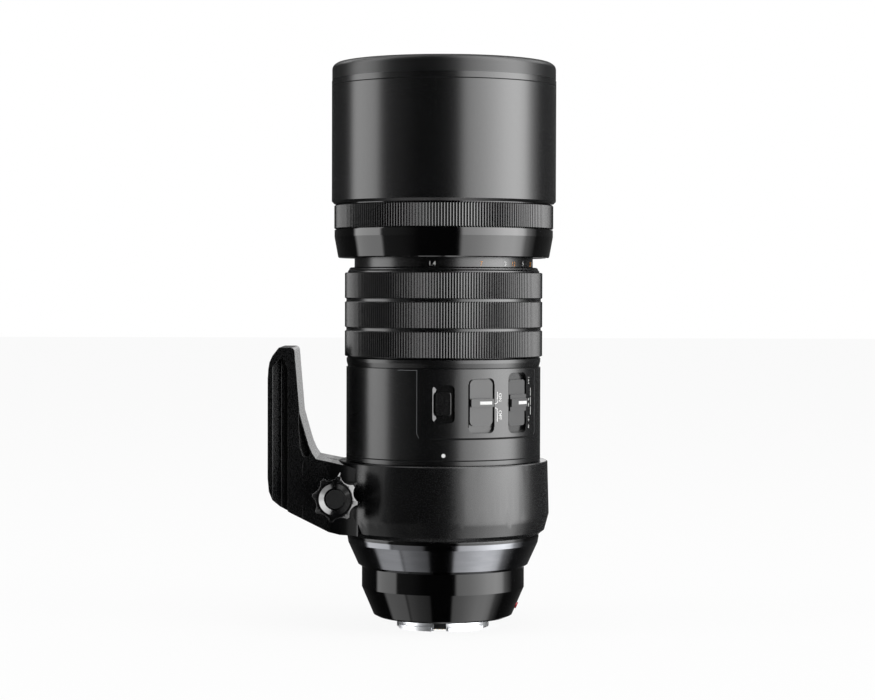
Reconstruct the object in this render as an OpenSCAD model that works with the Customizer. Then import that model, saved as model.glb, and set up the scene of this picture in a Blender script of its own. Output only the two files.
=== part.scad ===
// Super telephoto lens with slide-out hood, clutch focus ring and rotating tripod collar.
// Millimetres. The origin is on the optical axis in the plane of the lens mount's flange,
// +Z points to the subject and the tripod foot points along -X.

/* [Hood] */
// Outer diameter of the hood
hood_d = 92.4; // [91.6:0.1:96]
// Wall of the hood tube
hood_wall = 1.45; // [1.2:0.05:2]
// Height of the hood tube above the lock ring
hood_h = 51.2; // [50:0.1:56]
// Height of the soft ring at the hood's mouth
hood_lip_h = 6.7; // [6:0.1:8]
// Diameter of the knurled lock ring
lock_d = 90.3; // [90:0.1:91]
// Height of the knurled lock ring
lock_h = 10.4; // [9:0.1:11]
// Diameter of the glossy base ring
base_d = 90.1; // [89.9:0.1:91]
// Height of the glossy base ring
base_h = 11.4; // [11:0.1:14]

/* [Focus ring] */
// Diameter of the ribbed focus grip
grip_d = 81.5; // [81.3:0.1:83]
// Height of the ribbed focus grip
grip_h = 34.4; // [33:0.1:36]
// Height of the smooth lip above the grip
lip_h = 2.06; // [1.8:0.02:2.3]
// Diameter of the distance scale ring
scale_d = 73.56; // [73.5:0.02:73.7]
// Height of the scale that shows above the lip
scale_show_h = 3.92; // [3.9:0.02:5]
// Width of the two grooves that divide the grip
groove_w = 1.2; // [0.8:0.1:1.6]

/* [Barrel] */
// Diameter of the main barrel
barrel_d = 80.12; // [80.1:0.02:80.5]
// Bore of the main barrel
barrel_bore_d = 74.4; // [74.2:0.1:74.6]
// Height of the main barrel, collar seat included
barrel_h = 69.2; // [68.5:0.1:72]
// Height of the stop ring under the focus grip
stop_h = 3.96; // [3.6:0.02:5]
// Diameter of the front barrel that the hood slides on
front_d = 84; // [83.8:0.1:84.2]
// Diameter of the filter thread's wall
filter_d = 76.2; // [76.1:0.1:76.6]

/* [Rear] */
// Height of the rear barrel from the flange
rear_h = 20.8; // [20:0.1:23]
// Diameter of the rear barrel
rear_d = 67.1; // [66.8:0.1:67.6]
// Height of the bright rear ring
rear_ring_h = 13.2; // [12.6:0.1:15]
// Diameter of the bright rear ring
rear_ring_d = 79; // [78.8:0.1:79.2]
// Diameter of the bayonet tube
bayonet_d = 38; // [37.8:0.1:38.2]
// How far the bayonet reaches behind the flange
bayonet_h = 3.96; // [3.8:0.02:4.6]

/* [Tripod collar] */
// Height of the collar
collar_h = 30.3; // [29.8:0.1:31]
// Largest diameter of the collar
collar_d = 87.4; // [87.2:0.1:88]
// Distance from the optical axis to the foot's face
foot_x = 71.3; // [71:0.1:76]
// Width of the foot and its dovetail
foot_w = 38; // [37:0.1:39]
// Height of the foot above the leg's lower face
foot_h = 75.9; // [74:0.1:81]
// Width of the clamp slit
slit_w = 2; // [1.5:0.1:2.5]
// Largest diameter of the clamp knob
knob_d = 20.6; // [19:0.1:21]
// Length of the clamp knob
knob_h = 10; // [8:0.1:11]

/* [Switch panel] */
// Height of the switch panel
panel_h = 27.6; // [26.4:0.1:28]
// Angle from the front to the panel's left edge
panel_left = 14.7; // [12:0.1:18]
// Angle from the front to the panel's right edge
panel_right = 67.5; // [64:0.1:72]
// Width of the switch slots
slot_w = 11; // [10.4:0.1:11.4]
// Travel of the two slide switches
switch_travel = 2.3; // [2:0.1:3]

/* [Optics] */
// Opening radius of the open diaphragm
iris_open_r = 16.2; // [15.6:0.1:16.4]
// Turning angle of the diaphragm ring
iris_turn = 30; // [20:1:30]
// Travel of the focusing group
focus_travel = 12; // [8:0.5:13]
// Travel of the stabiliser to each side
shift_travel = 1.2; // [0.8:0.1:1.4]

/* [Hidden] */

// Steps that draw each curve
$fn = 96;
// Overrun of every cut
cut = 1;
// Clearance between pieces that move past each other
gap = 0.3;
// Radial clearance of a turning or sliding fit
run_gap = 0.08;
// Radial clearance of a piece seated in a bore
seat_gap = 0.04;

// Heights of the joints between the outer pieces, from the flange up
z_rear_ring = rear_h;
z_ring_top = z_rear_ring + rear_ring_h;
z_collar = z_ring_top + gap;
z_collar_top = z_collar + collar_h;
z_barrel_top = z_ring_top + barrel_h;
z_stop_top = z_barrel_top + stop_h;
z_grip = z_stop_top + gap;
z_grip_top = z_grip + grip_h;
z_lip_top = z_grip_top + lip_h;
z_base = z_lip_top + scale_show_h;
z_lock = z_base + base_h;
z_hood = z_lock + lock_h;
z_hood_top = z_hood + hood_h;
z_mouth = z_hood_top + hood_lip_h;

// Radii that the outer pieces share
hood_r = hood_d / 2;
hood_bore_r = hood_r - hood_wall;
lock_r = lock_d / 2;
base_r = base_d / 2;
grip_r = grip_d / 2;
barrel_r = barrel_d / 2;
barrel_bore_r = barrel_bore_d / 2;
front_r = front_d / 2;
filter_r = filter_d / 2;
rear_r = rear_d / 2;
rear_ring_r = rear_ring_d / 2;
scale_r = scale_d / 2;
collar_r = collar_d / 2;

// Small roundings and chamfers of the outer pieces
edge_chamfer = 0.4;
hood_edge = 1.1;
seam_depth = 0.25;
seam_h = 0.5;

// Hood: tube that rides on the front barrel, floor, spigot of the soft ring, dark lining
hood_slide_r = front_r + gap;
hood_floor_h = 2.1;
hood_neck_wall = 1.3;
hood_neck_r = hood_slide_r + hood_neck_wall;
hood_lip_round = 2.4;
spigot_h = 2.6;
lining_t = 0.4;
base_taper = 1.5;
base_taper_h = 8.6;

// Focus ring: sleeve, lip and the scale ring inside it
grip_t = 1.75;
sleeve_r = grip_r - grip_t;
sleeve_bore_r = scale_r + gap;
lip_step = 1.25;
lip_low_r = grip_r - lip_step;
lip_taper = 1.3;
lip_top_r = lip_low_r - lip_taper;
groove_depth = 0.6;
grip_edge = 0.6;
scale_wall = 1.58;
chassis_r = scale_r - scale_wall - gap;
chassis_wall = 1.7;
chassis_bore_r = chassis_r - chassis_wall;

// Collar and its seat on the barrel
neck_step = 1.46;
neck_r = barrel_r - neck_step;
glide_t = 0.4;
collar_bore_r = neck_r + glide_t + run_gap;
collar_top_taper = 0.6;
collar_top_r = collar_r - collar_top_taper;
collar_mid_h = 8.5;
collar_low_taper = 1.8;
collar_low_r = collar_r - collar_low_taper;
collar_low_h = 1.9;
collar_edge_r = rear_ring_r;

// Leg of the collar: side outline heights and reach from the axis
leg_x = 57;
leg_rise = 1;
leg_z = z_collar + leg_rise;
leg_low_x = 42;
leg_turn_x = 46.5;
leg_turn_rise = 1;
leg_slope = tan(26.5);
leg_top_drop = 1;
leg_top_z = z_collar_top - leg_top_drop;
leg_top_x = 40;
leg_top_slope = tan(11.6);
leg_corner = 3;
leg_fillet = 17.6;
leg_root_x = 30;

// Foot: side outline, dovetail and scoops
foot_top_z = leg_z + foot_h;
heel_h = 22.9;
foot_straight_low = leg_z + heel_h;
crown_h = 12.6;
foot_straight_high = foot_top_z - crown_h;
foot_crown_x = 66.8;
foot_inner_top_x = 60.4;
foot_inner_mid_x = 58.3;
foot_inner_mid_rise = 49.2;
foot_inner_mid_z = leg_z + foot_inner_mid_rise;
foot_flare_x = 54.8;
foot_flare_rise = 36.7;
foot_flare_z = leg_z + foot_flare_rise;
foot_toe_x = 51.6;
foot_toe_rise = 33.1;
foot_toe_z = leg_z + foot_toe_rise;
heel_w = 10.1;
heel_shares = [[1, 0.126], [0.495, 0.288], [0.188, 0.468], [0.05, 0.672]];
crown_shares = [[0.06, 0.31], [0.16, 0.53], [0.43, 0.74], [1, 1]];
foot_tip_round = 1.6;
dovetail_rim = 2.1;
dovetail_depth = 3.3;
dovetail_floor = 2.8;
dovetail_top_drop = 3.8;
dovetail_top_z = foot_top_z - dovetail_top_drop;
dovetail_end_drop = 10.6;
dovetail_end_z = foot_top_z - dovetail_end_drop;
dovetail_tip = 1.6;
scoop_depth = 4;
scoop_x = 54;
scoop_w = 4.75;
scoop_rise = 31.3;
scoop_h = 18.4;
scoop_shares = [[1, 1], [0.95, 0.56], [0.86, 0.21], [0.63, 0.05], [0.25, 0], [0, 0.07], [0.08, 0.21],
    [0.34, 0.37], [0.72, 0.73]];
bush_rise = 46.7;
bush_z = leg_z + bush_rise;
bush_r = 6;
bush_depth = 9;
bush_bore_r = 2.6;
foot_screw_r = 2.2;
foot_screw_head_r = 3.6;
foot_screw_head_h = 3;
foot_screw_sink = 1.2;
foot_screw_y = 10;
foot_screw_rise = 21.2;
foot_screw_z = leg_z + foot_screw_rise;
foot_screw_end_x = 48.5;

// Clamp knob and its screw
knob_inset = 4.02;
knob_x = collar_bore_r + knob_inset;
knob_rise = 17.1;
knob_z = z_collar + knob_rise;
knob_clearance = 0.52;
knob_y = sqrt(collar_r * collar_r - pow(knob_x - knob_d / 2, 2)) + knob_clearance;
knob_lobes = 8;
knob_front_d = 18.4;
knob_front_drop = 1;
knob_rim_flat = 0.3;
knob_valley_r = 7.6;
scallop_r = 4.4;
knob_recess_r = 6.4;
knob_recess_floor_r = 3.8;
knob_recess_h = 1.4;
knob_cap_h = 0.8;
knob_phase = -10;
screw_r = 3;
boss_r = 5.4;
slit_end_x = 48;

// Stop ring
stop_step = 0.06;
stop_top_r = barrel_r - stop_step;
stop_taper = 0.58;
stop_low_r = stop_top_r - stop_taper;
stop_taper_h = 2.2;

// Rear ring and rear barrel
ring_band_h = 1.2;
ring_facet_h = 2;
ring_facet = 0.32;
ring_cone_step = 1.6;
ring_cone_r = rear_r + ring_cone_step;
ring_cone_h = 8.9;
ring_wall = 3.6;
ring_bore_r = rear_r - ring_wall;
ring_spigot_h = 2;
rear_wall = 2;
rear_cone_z = 12.3;
rear_taper = 4.83;
rear_low_r = rear_r - rear_taper;
rear_low_z = 1.05;
rear_end_taper = 1.44;
rear_end_r = rear_low_r - rear_end_taper;
rear_floor_h = 2;

// Lens mount
flange_t = 2;
flange_r = 24.8;
flange_relief_r = 20.8;
flange_relief = 0.3;
seal_w = 1;
bayonet_r = bayonet_d / 2;
bayonet_wall = 1.2;
bayonet_top = 5;
lug_reach = 1.4;
lug_r = bayonet_r + lug_reach;
lug_h = 1.5;
lug_span = 48;
lug_starts = [-62, 6, 130];
bayonet_notch = [-12, 4];
mount_screw_r = 0.9;
mount_screw_head_r = 1.5;
mount_screw_head_h = 0.8;
mount_screw_pitch_r = 22.9;
mount_screw_h = 3.6;
contact_span = 76;
contact_side_angle = 2;
contact_in_r = 13.4;
contact_top = 4;
contact_low = 3.3;
contact_count = 11;
contact_pitch = 6;
contact_pin_r = 0.6;
contact_pin_circle_r = 15.6;
contact_pin_out = 0.3;
baffle_low = 3;
baffle_top = 3;
baffle_w = 21;
baffle_d = 15;

// Index dots
dot_r = 0.8;
dot_depth = 0.5;
dot_proud = 0.06;
dot_rise = 4.3;
dot_z = z_collar_top + dot_rise;
mount_dot_z = 4.6;
mount_dot_r = 1.3;
mount_dot_azimuth = 86;

// Switch panel, its recess and what sits in it
panel_z = z_barrel_top - panel_h;
panel_mid_z = z_barrel_top - panel_h / 2;
panel_t = 1.1;
panel_proud = 0.04;
panel_r = barrel_r + panel_proud;
panel_seat_r = barrel_r - panel_t;
panel_chamfer = 3;
panel_seam = 0.1;
pocket_floor_t = 0.8;
pocket_r = barrel_bore_r + pocket_floor_t;
slot_edge = 2;
slider_gap = 0.6;
is_azimuth = 22.4;
is_slot_h = 21.9;
is_slot_drop = 0.75;
is_slot_z = panel_mid_z - is_slot_drop;
is_slider_h = is_slot_h - 2 * slider_gap - switch_travel;
limiter_azimuth = 48.3;
limiter_slot_h = 24.2;
limiter_slot_rise = 0.1;
limiter_slot_z = panel_mid_z + limiter_slot_rise;
limiter_slider_h = limiter_slot_h - 2 * slider_gap - 2 * switch_travel;
limiter_step_h = 6.7;
limiter_edge = 1.2 * slot_edge;
ridge_h = 3.2;
ridge_out = 1.6;
slider_t = 1.1;
fn_w = 6.1;
fn_h = 9.2;
fn_slot_w = 8.9;
fn_slot_h = 15;
fn_z = panel_mid_z;
fn_t = 1;
fn_stem_r = 1.2;
fn_stem_out = 0.2;
fn_stem_end_r = barrel_bore_r - fn_stem_out;

// Front barrel, its seats and glass
front_wall = 2;
front_recess = 5.5;
front_step = 1.2;
z_front = z_base + front_step;
z_front_top = z_mouth - front_recess;
chassis_socket_h = 6;
thread_h = 5;
thread_relief_h = 1;
thread_relief = 0.5;
retainer_seat_h = 2.9;
z_retainer = z_front_top - thread_h - thread_relief_h - retainer_seat_h;
retainer_h = 2.4;
retainer_w = 1.4;
retainer_rise = 0.35;
element_1_step = 0.3;
element_1_r = filter_r - element_1_step;
element_1_h = 8.5;
element_2_step = 2;
element_2_r = element_1_r - element_2_step;
element_2_drop = 16;
doublet_step = 3;
doublet_r = element_2_r - doublet_step;
doublet_drop = 40;
z_element_1 = z_retainer - element_1_h;
z_element_2 = z_element_1 - element_2_drop;
z_doublet = z_element_1 - doublet_drop;
shelf_w = 1.5;
shelf_h = 2;
cell_h = 8;
element_1_edge = 4.2;
element_1_crown = 4;
element_1_hollow = 0.8;
element_2_edge = 3.4;
element_2_crown = 3.2;
element_2_hollow = 1.6;
doublet_edge = 5;
doublet_crown = 3.4;
doublet_joint = 3;
doublet_rear_edge = 4;
doublet_rear_hollow = 1.2;

// Inner chassis and what it carries
chassis_flange_h = 3;
chassis_mid_h = 4.2;
z_chassis = z_ring_top + ring_spigot_h;
z_chassis_top = z_front + chassis_socket_h;
is_rise = 22;
z_is = z_ring_top + is_rise;
is_h = 16;
z_bay = z_is + is_h;
focus_bay_h = 55;
z_iris = z_bay + focus_bay_h;
inner_r = chassis_bore_r - seat_gap;

// Focusing group
rod_r = 1;
rod_inset = 2.2;
rod_circle_r = inner_r - rod_inset;
rod_seat = 1.5;
cell_wall = 2.2;
focus_glass_r = 21;
focus_cell_rise = 20;
focus_cell_z = focus_travel + focus_cell_rise;
focus_cell_h = 14;
focus_shelf = 1.5;
ear_r = 2.6;
ear_reach = 0.9;
lead_r = 1.4;
motor_r = 4;
motor_h = 10;
motor_inset = 4.4;
motor_circle_r = inner_r - motor_inset;
nut_r = 2.7;
focus_edge = 4;
focus_crown = 2.4;
focus_hollow = 1.2;
focus_joint = 2.2;

// Stabiliser
is_floor_h = 2;
is_wall = 2.2;
is_bore_r = 20;
rail_w = 3;
rail_h = 0.9;
pitch_rail_inset = 4.2;
pitch_rail_x = is_bore_r + pitch_rail_inset;
yaw_rail_inset = 2.4;
yaw_rail_y = is_bore_r + yaw_rail_inset;
rod_block_h = 4;
frame_t = 2.2;
pitch_room = 1.2;
pitch_frame_r = inner_r - is_wall - shift_travel - pitch_room;
yaw_step = 2.6;
yaw_frame_r = pitch_frame_r - yaw_step;
pitch_bore_r = 19;
yaw_barrel_r = 17;
yaw_barrel_h = 6;
is_glass_r = 15.4;
is_edge = 2;
is_crown = 1.6;
is_hollow = 0.9;
magnet_l = 12;
magnet_w = 1.8;
magnet_h = 4;
z_pitch = z_is + is_floor_h + gap;
z_yaw = z_pitch + frame_t + gap;

// Diaphragm
blade_count = 9;
blade_t = 0.2;
blade_pitch = 0.3;
blade_r_out = 24.3;
blade_span = 100;
pivot_circle_r = 26;
pivot_r = 0.8;
blade_ear_r = 1.8;
drive_arm = 3.65;
drive_home = -91;
drive_pin_r = 0.6;
blade_ratio = 0.96;
iris_floor_h = 1.2;
iris_bore_r = 17;
iris_wall = 2.95;
iris_wall_r = inner_r - iris_wall;
iris_ledge = 0.9;
iris_ring_w = 5.4;
iris_ring_h = 1.6;
iris_cover_h = 1;
stack_z = z_iris + iris_floor_h + blade_pitch / 2;
stack_top = stack_z + blade_count * blade_pitch;
iris_ring_z = stack_top + blade_pitch / 2;
iris_wall_top = iris_ring_z + iris_ring_h + blade_pitch;

// Rear group
rear_cell_r = 20.5;
rear_cell_z = 8;
rear_cell_flange = 3;
rear_cell_wall = 1.54;
rear_glass_step = 1.5;
rear_glass_place_shares = [1 / 12, 5 / 12, 3 / 4];
rear_glass_edge = 3;
rear_glass_crown = 1.8;
rear_glass_crown_shares = [0.78, 0.67, 1];
rear_glass_hollow = 1;
rear_glass_hollow_shares = [0.8, 1, 0.6];

// Circuit boards
board_t = 0.7;
board_left = 18;
board_right = 64;
board_low = 3;
board_high = 5;
tact_w = 5;
tact_out = 0.5;
ring_board_r = 25.6;
ring_board_in_r = 21.6;
ring_board_t = 1;
chip_w = 3;
chip_t = 0.8;

// Curves

function arc(cx, cy, r, from, to, steps = 8) =
    [for (i = [0:steps]) let (a = from + (to - from) * i / steps) [cx + r * cos(a), cy + r * sin(a)]];

// Points of a shallow curve through the axis: rises by sag at the axis from height z at radius r
function bowl(r, z, sag, steps = 12) =
    let (big = (r * r + sag * sag) / (2 * sag))
    [for (i = [0:steps]) let (x = r * i / steps)
        [x, z + sag - big + sign(big) * sqrt(big * big - x * x)]];

function reversed(list) = [for (i = [len(list) - 1:-1:0]) list[i]];

function turned(p, a) = [p[0] * cos(a) - p[1] * sin(a), p[0] * sin(a) + p[1] * cos(a)];

// Shared shapes

module ring(r_out, r_in, h) {
    difference() {
        cylinder(r = r_out, h = h);
        translate([0, 0, -cut]) cylinder(r = r_in, h = h + 2 * cut);
    }
}

module at_z(z) {
    translate([0, 0, z]) children();
}

// Azimuth 0 faces the viewer along -Y and grows towards +X
module at_azimuth(a) {
    rotate([0, 0, a - 90]) children();
}

module rounded_rect(w, h, r) {
    square([w - 2 * r, h], center = true);
    square([w, h - 2 * r], center = true);
    for (sx = [-1, 1], sy = [-1, 1])
        translate([sx * (w / 2 - r), sy * (h / 2 - r)]) circle(r = r);
}

// A straight-sided block that points out of the barrel at an azimuth, from one radius to another
module radial_block(a, z, w, h, r, r_from, r_to) {
    at_azimuth(a) translate([r_from, 0, z]) rotate([90, 0, 90])
        linear_extrude(height = r_to - r_from) rounded_rect(w, h, r);
}

module sector(r_in, r_out, from, to, h) {
    at_azimuth(from) rotate_extrude(angle = to - from)
        translate([r_in, 0]) square([r_out - r_in, h]);
}

// One lens element with its edge from 0 to edge, crowned above and below by the given heights
module element(r, edge, top, bottom) {
    rotate_extrude() polygon(concat(bowl(r, 0, -bottom), reversed(bowl(r, edge, top))));
}

// Hood

module hood_shell() {
    color("#161718") difference() {
        rotate_extrude() polygon([
            [hood_slide_r, z_hood + gap], [hood_r - hood_edge, z_hood + gap],
            [hood_r, z_hood + gap + hood_edge], [hood_r, z_hood_top - seam_h],
            [hood_r - seam_depth, z_hood_top - seam_h], [hood_r - seam_depth, z_hood_top],
            [hood_bore_r, z_hood_top], [hood_bore_r, z_hood + gap + hood_floor_h],
            [hood_slide_r, z_hood + gap + hood_floor_h]]);
    }
}

module hood_front_ring() {
    in_r = hood_bore_r - lining_t - edge_chamfer;
    color("#1d1e20") rotate_extrude() polygon(concat(
        [[hood_bore_r - seat_gap, z_hood_top - spigot_h], [hood_bore_r - seat_gap, z_hood_top],
         [hood_r - hood_edge / 8, z_hood_top]],
        arc(hood_r - hood_edge / 8 - hood_lip_round, z_mouth - hood_lip_round, hood_lip_round, 0, 90),
        arc(in_r + edge_chamfer, z_mouth - edge_chamfer, edge_chamfer, 90, 180, 4),
        [[in_r, z_hood_top - spigot_h]]));
}

module hood_lining() {
    color("#0c0c0d") at_z(z_hood + gap + hood_floor_h)
        ring(hood_bore_r - seat_gap, hood_bore_r - lining_t, hood_h - hood_floor_h - gap - spigot_h);
}

module hood_base_ring() {
    color("#0f1011") rotate_extrude() polygon([
        [hood_slide_r, z_base], [base_r - base_taper - edge_chamfer, z_base],
        [base_r - base_taper, z_base + edge_chamfer], [base_r, z_base + base_taper_h],
        [base_r, z_lock], [hood_neck_r, z_lock], [hood_neck_r, z_hood + gap],
        [hood_slide_r, z_hood + gap]]);
}

module hood_lock_ring() {
    color("#3a3c3f") at_z(z_lock + gap) rotate_extrude() polygon([
        [hood_neck_r + gap, 0], [lock_r - edge_chamfer, 0], [lock_r, edge_chamfer],
        [lock_r, lock_h - gap - edge_chamfer], [lock_r - edge_chamfer, lock_h - gap],
        [hood_neck_r + gap, lock_h - gap]]);
}

// Focus ring

module scale_ring() {
    color("#18191b") at_z(z_grip) ring(scale_r, chassis_r + gap, z_front - gap - z_grip);
}

module focus_grip() {
    band = (grip_h - 2 * groove_w) / 3;
    color("#26282a") at_z(z_grip) rotate_extrude() polygon(concat(
        [[sleeve_r, 0], [grip_r - edge_chamfer, 0], [grip_r, edge_chamfer]],
        [for (i = [1:2], p = [[0, 0], [groove_depth, 0], [groove_depth, groove_w], [0, groove_w]])
            [grip_r - p[0], i * band + (i - 1) * groove_w + p[1]]],
        arc(grip_r - grip_edge, grip_h - grip_edge, grip_edge, 0, 90, 4),
        [[sleeve_r, grip_h]]));
}

module clutch_sleeve() {
    color("#131415") rotate_extrude() polygon([
        [sleeve_bore_r, z_grip + gap], [sleeve_r, z_grip + gap], [sleeve_r, z_grip_top],
        [lip_low_r, z_grip_top], [lip_low_r, z_grip_top + lip_h / 4], [lip_top_r, z_lip_top],
        [sleeve_bore_r, z_lip_top]]);
}

module grip_stop_ring() {
    color("#141516") at_z(z_barrel_top) rotate_extrude() polygon([
        [chassis_r + seat_gap, 0], [stop_low_r, 0], [stop_top_r, stop_taper_h],
        [stop_top_r, stop_h - edge_chamfer], [stop_top_r - edge_chamfer, stop_h],
        [chassis_r + seat_gap, stop_h]]);
}

// Main barrel and switches

module panel_shape(r_in, r_out, seam_angle, over) {
    reach = panel_chamfer / sqrt(2);
    block = 2 * panel_chamfer;
    difference() {
        at_z(panel_z) sector(r_in, r_out, -panel_left + seam_angle, panel_right - seam_angle,
            z_barrel_top + over - panel_z);
        at_azimuth(-panel_left) translate([r_in - cut, 0, panel_z]) rotate([45, 0, 0])
            translate([0, -block, -block]) cube([r_out - r_in + 2 * cut, block + reach, 2 * block]);
    }
}

module switch_pockets(r_floor) {
    out_r = barrel_r + 2 * cut;
    radial_block(0, fn_z, fn_slot_w, fn_slot_h, slot_edge, r_floor, out_r);
    radial_block(is_azimuth, is_slot_z, slot_w, is_slot_h, slot_edge, r_floor, out_r);
    radial_block(limiter_azimuth, limiter_slot_z, slot_w, limiter_slot_h, limiter_edge,
        r_floor, out_r);
}

module main_barrel() {
    color("#17181a") difference() {
        difference() {
            rotate_extrude() polygon([
                [barrel_bore_r, z_ring_top], [neck_r, z_ring_top], [neck_r, z_collar_top + gap],
                [barrel_r, z_collar_top + gap], [barrel_r, z_barrel_top],
                [barrel_bore_r, z_barrel_top]]);
            panel_shape(panel_seat_r, barrel_r + cut, 0, cut);
        }
        switch_pockets(pocket_r);
        at_azimuth(0) translate([barrel_bore_r - cut, 0, fn_z]) rotate([0, 90, 0])
            cylinder(r = fn_stem_r + gap, h = pocket_floor_t + 2 * cut);
        at_azimuth(0) translate([barrel_r - dot_depth, 0, dot_z]) rotate([0, 90, 0])
            cylinder(r = dot_r + seat_gap, h = dot_depth + cut);
    }
}

module switch_panel() {
    color("#151618") difference() {
        panel_shape(panel_seat_r + seat_gap, panel_r, panel_seam, 0);
        switch_pockets(barrel_bore_r);
    }
}

module fn_button() {
    face_r = barrel_r - fn_t / 4;
    color("#101112") {
        radial_block(0, fn_z, fn_w, fn_h, slot_edge / 2, face_r - fn_t, face_r);
        at_azimuth(0) translate([fn_stem_end_r, 0, fn_z]) rotate([0, 90, 0])
            cylinder(r = fn_stem_r, h = face_r - fn_t / 2 - fn_stem_end_r);
    }
}

module slider(a, z, h, edge, step_h) {
    low_r = pocket_r + gap;
    face_r = low_r + slider_t;
    w = slot_w - 2 * slider_gap;
    radial_block(a, z, w, h, edge, low_r, face_r);
    if (step_h > 0) radial_block(a, z, w, step_h, edge_chamfer, face_r - gap, face_r + ridge_out / 2);
    radial_block(a, z, w, ridge_h, edge_chamfer, face_r - gap, face_r + ridge_out);
}

module is_switch() {
    top = is_slot_z + is_slot_h / 2 - slider_gap;
    color("#141517") slider(is_azimuth, top - is_slider_h / 2, is_slider_h, slot_edge, 0);
}

module limiter_switch() {
    color("#141517") slider(limiter_azimuth, limiter_slot_z, limiter_slider_h, limiter_edge / 2,
        limiter_step_h);
}

// A peg square to the rear barrel's cone, from dot_depth under its surface
module mount_dot(r, h) {
    slope = atan2(rear_r - rear_low_r, rear_cone_z - rear_low_z);
    cone_r = rear_low_r + (mount_dot_z - rear_low_z) * tan(slope);
    at_azimuth(mount_dot_azimuth) translate([cone_r, 0, mount_dot_z]) rotate([0, 90 + slope, 0])
        at_z(-dot_depth) cylinder(r = r, h = h);
}

module index_dots() {
    color("white") at_azimuth(0) translate([barrel_r - dot_depth, 0, dot_z]) rotate([0, 90, 0])
        cylinder(r = dot_r, h = dot_depth + dot_proud);
    color("#b0182a") mount_dot(mount_dot_r, 2 * dot_depth);
}

module circuit_boards() {
    in_r = chassis_r + seat_gap;
    h = z_barrel_top - chassis_mid_h - board_high - panel_z - board_low;
    color("#1d4a2c") {
        at_z(panel_z + board_low) sector(in_r, in_r + board_t, -board_left, board_right, h);
        at_z(rear_floor_h + flange_t) ring(ring_board_r, ring_board_in_r, ring_board_t);
    }
    color("#222426") {
        radial_block(0, fn_z, tact_w, tact_w, edge_chamfer, in_r + board_t / 2,
            in_r + board_t + tact_out);
        for (a = [20:40:340]) rotate([0, 0, a])
            translate([(ring_board_r + ring_board_in_r - chip_w) / 2, -chip_w / 2,
                rear_floor_h + flange_t + ring_board_t / 2])
            cube([chip_w, chip_w, chip_t + ring_board_t / 2]);
    }
}

// Tripod collar

module collar_glide() {
    color("#3b3b3d") at_z(z_collar + edge_chamfer)
        ring(neck_r + glide_t, neck_r, collar_h - 2 * edge_chamfer);
}

// Leg outline seen from the side: distance from the axis, height
function leg_outline() =
    let (low_z = leg_z + leg_turn_rise + (leg_x - leg_turn_x) * leg_slope,
        top_z = leg_top_z + (leg_x - leg_corner - leg_top_x) * leg_top_slope)
    concat([[leg_root_x, leg_z], [leg_low_x, leg_z], [leg_turn_x, leg_z + leg_turn_rise],
        [leg_x, low_z]],
        arc(leg_x - leg_corner, top_z - leg_corner, leg_corner, 0, 90, 6),
        [[leg_top_x, leg_top_z], [leg_root_x, leg_top_z - (leg_top_x - leg_root_x) * leg_top_slope]]);

// Leg outline seen from above, blended into the collar by an arc on each side
function leg_side(s) =
    let (c_y = foot_w / 2 + leg_fillet, reach = collar_top_r + leg_fillet,
        c_x = sqrt(reach * reach - c_y * c_y), end = atan2(c_y, c_x))
    [for (p = arc(c_x, c_y, leg_fillet, 270, 180 + end, 10)) [p[0], s * p[1]]];

module tripod_collar() {
    plan = concat([[leg_x, foot_w / 2]], leg_side(1), [[leg_root_x, 0]], reversed(leg_side(-1)),
        [[leg_x, -foot_w / 2]]);
    color("#191a1c") difference() {
        union() {
            rotate_extrude() polygon([
                [collar_bore_r, z_collar], [collar_edge_r, z_collar],
                [collar_low_r, z_collar + collar_low_h], [collar_r, z_collar + collar_mid_h],
                [collar_top_r, z_collar_top - edge_chamfer],
                [collar_top_r - edge_chamfer, z_collar_top], [collar_bore_r, z_collar_top]]);
            difference() {
                intersection() {
                    mirror([1, 0, 0]) linear_extrude(height = foot_top_z) polygon(plan);
                    translate([0, foot_w, 0]) rotate([90, 0, 0]) mirror([1, 0, 0])
                        linear_extrude(height = 2 * foot_w) polygon(leg_outline());
                }
                cylinder(r = collar_bore_r + edge_chamfer, h = foot_top_z);
            }
            knob_axis() at_z(foot_w / 2 - leg_corner) cylinder(r = boss_r,
                h = knob_y - gap - foot_w / 2 + leg_corner);
        }
        translate([-slit_end_x, -slit_w / 2, 0])
            cube([slit_end_x - collar_bore_r / 2, slit_w, foot_top_z]);
        knob_axis() at_z(-foot_w) cylinder(r = screw_r + run_gap, h = 2 * foot_w);
        foot_screw_places() at_x(foot_screw_end_x)
            cylinder(r = foot_screw_r + seat_gap, h = leg_x);
        at_z(0) cylinder(r = collar_bore_r, h = foot_top_z);
    }
}

module knob_axis() {
    translate([-knob_x, 0, knob_z]) rotate([90, 0, 0]) children();
}

module foot_screw_places() {
    for (y = [-foot_screw_y, foot_screw_y])
        translate([0, y, foot_screw_z]) rotate([0, -90, 0]) children();
}

// Along a foot screw the height is the distance from the optical axis
module at_x(x) {
    translate([0, 0, x]) children();
}

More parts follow.
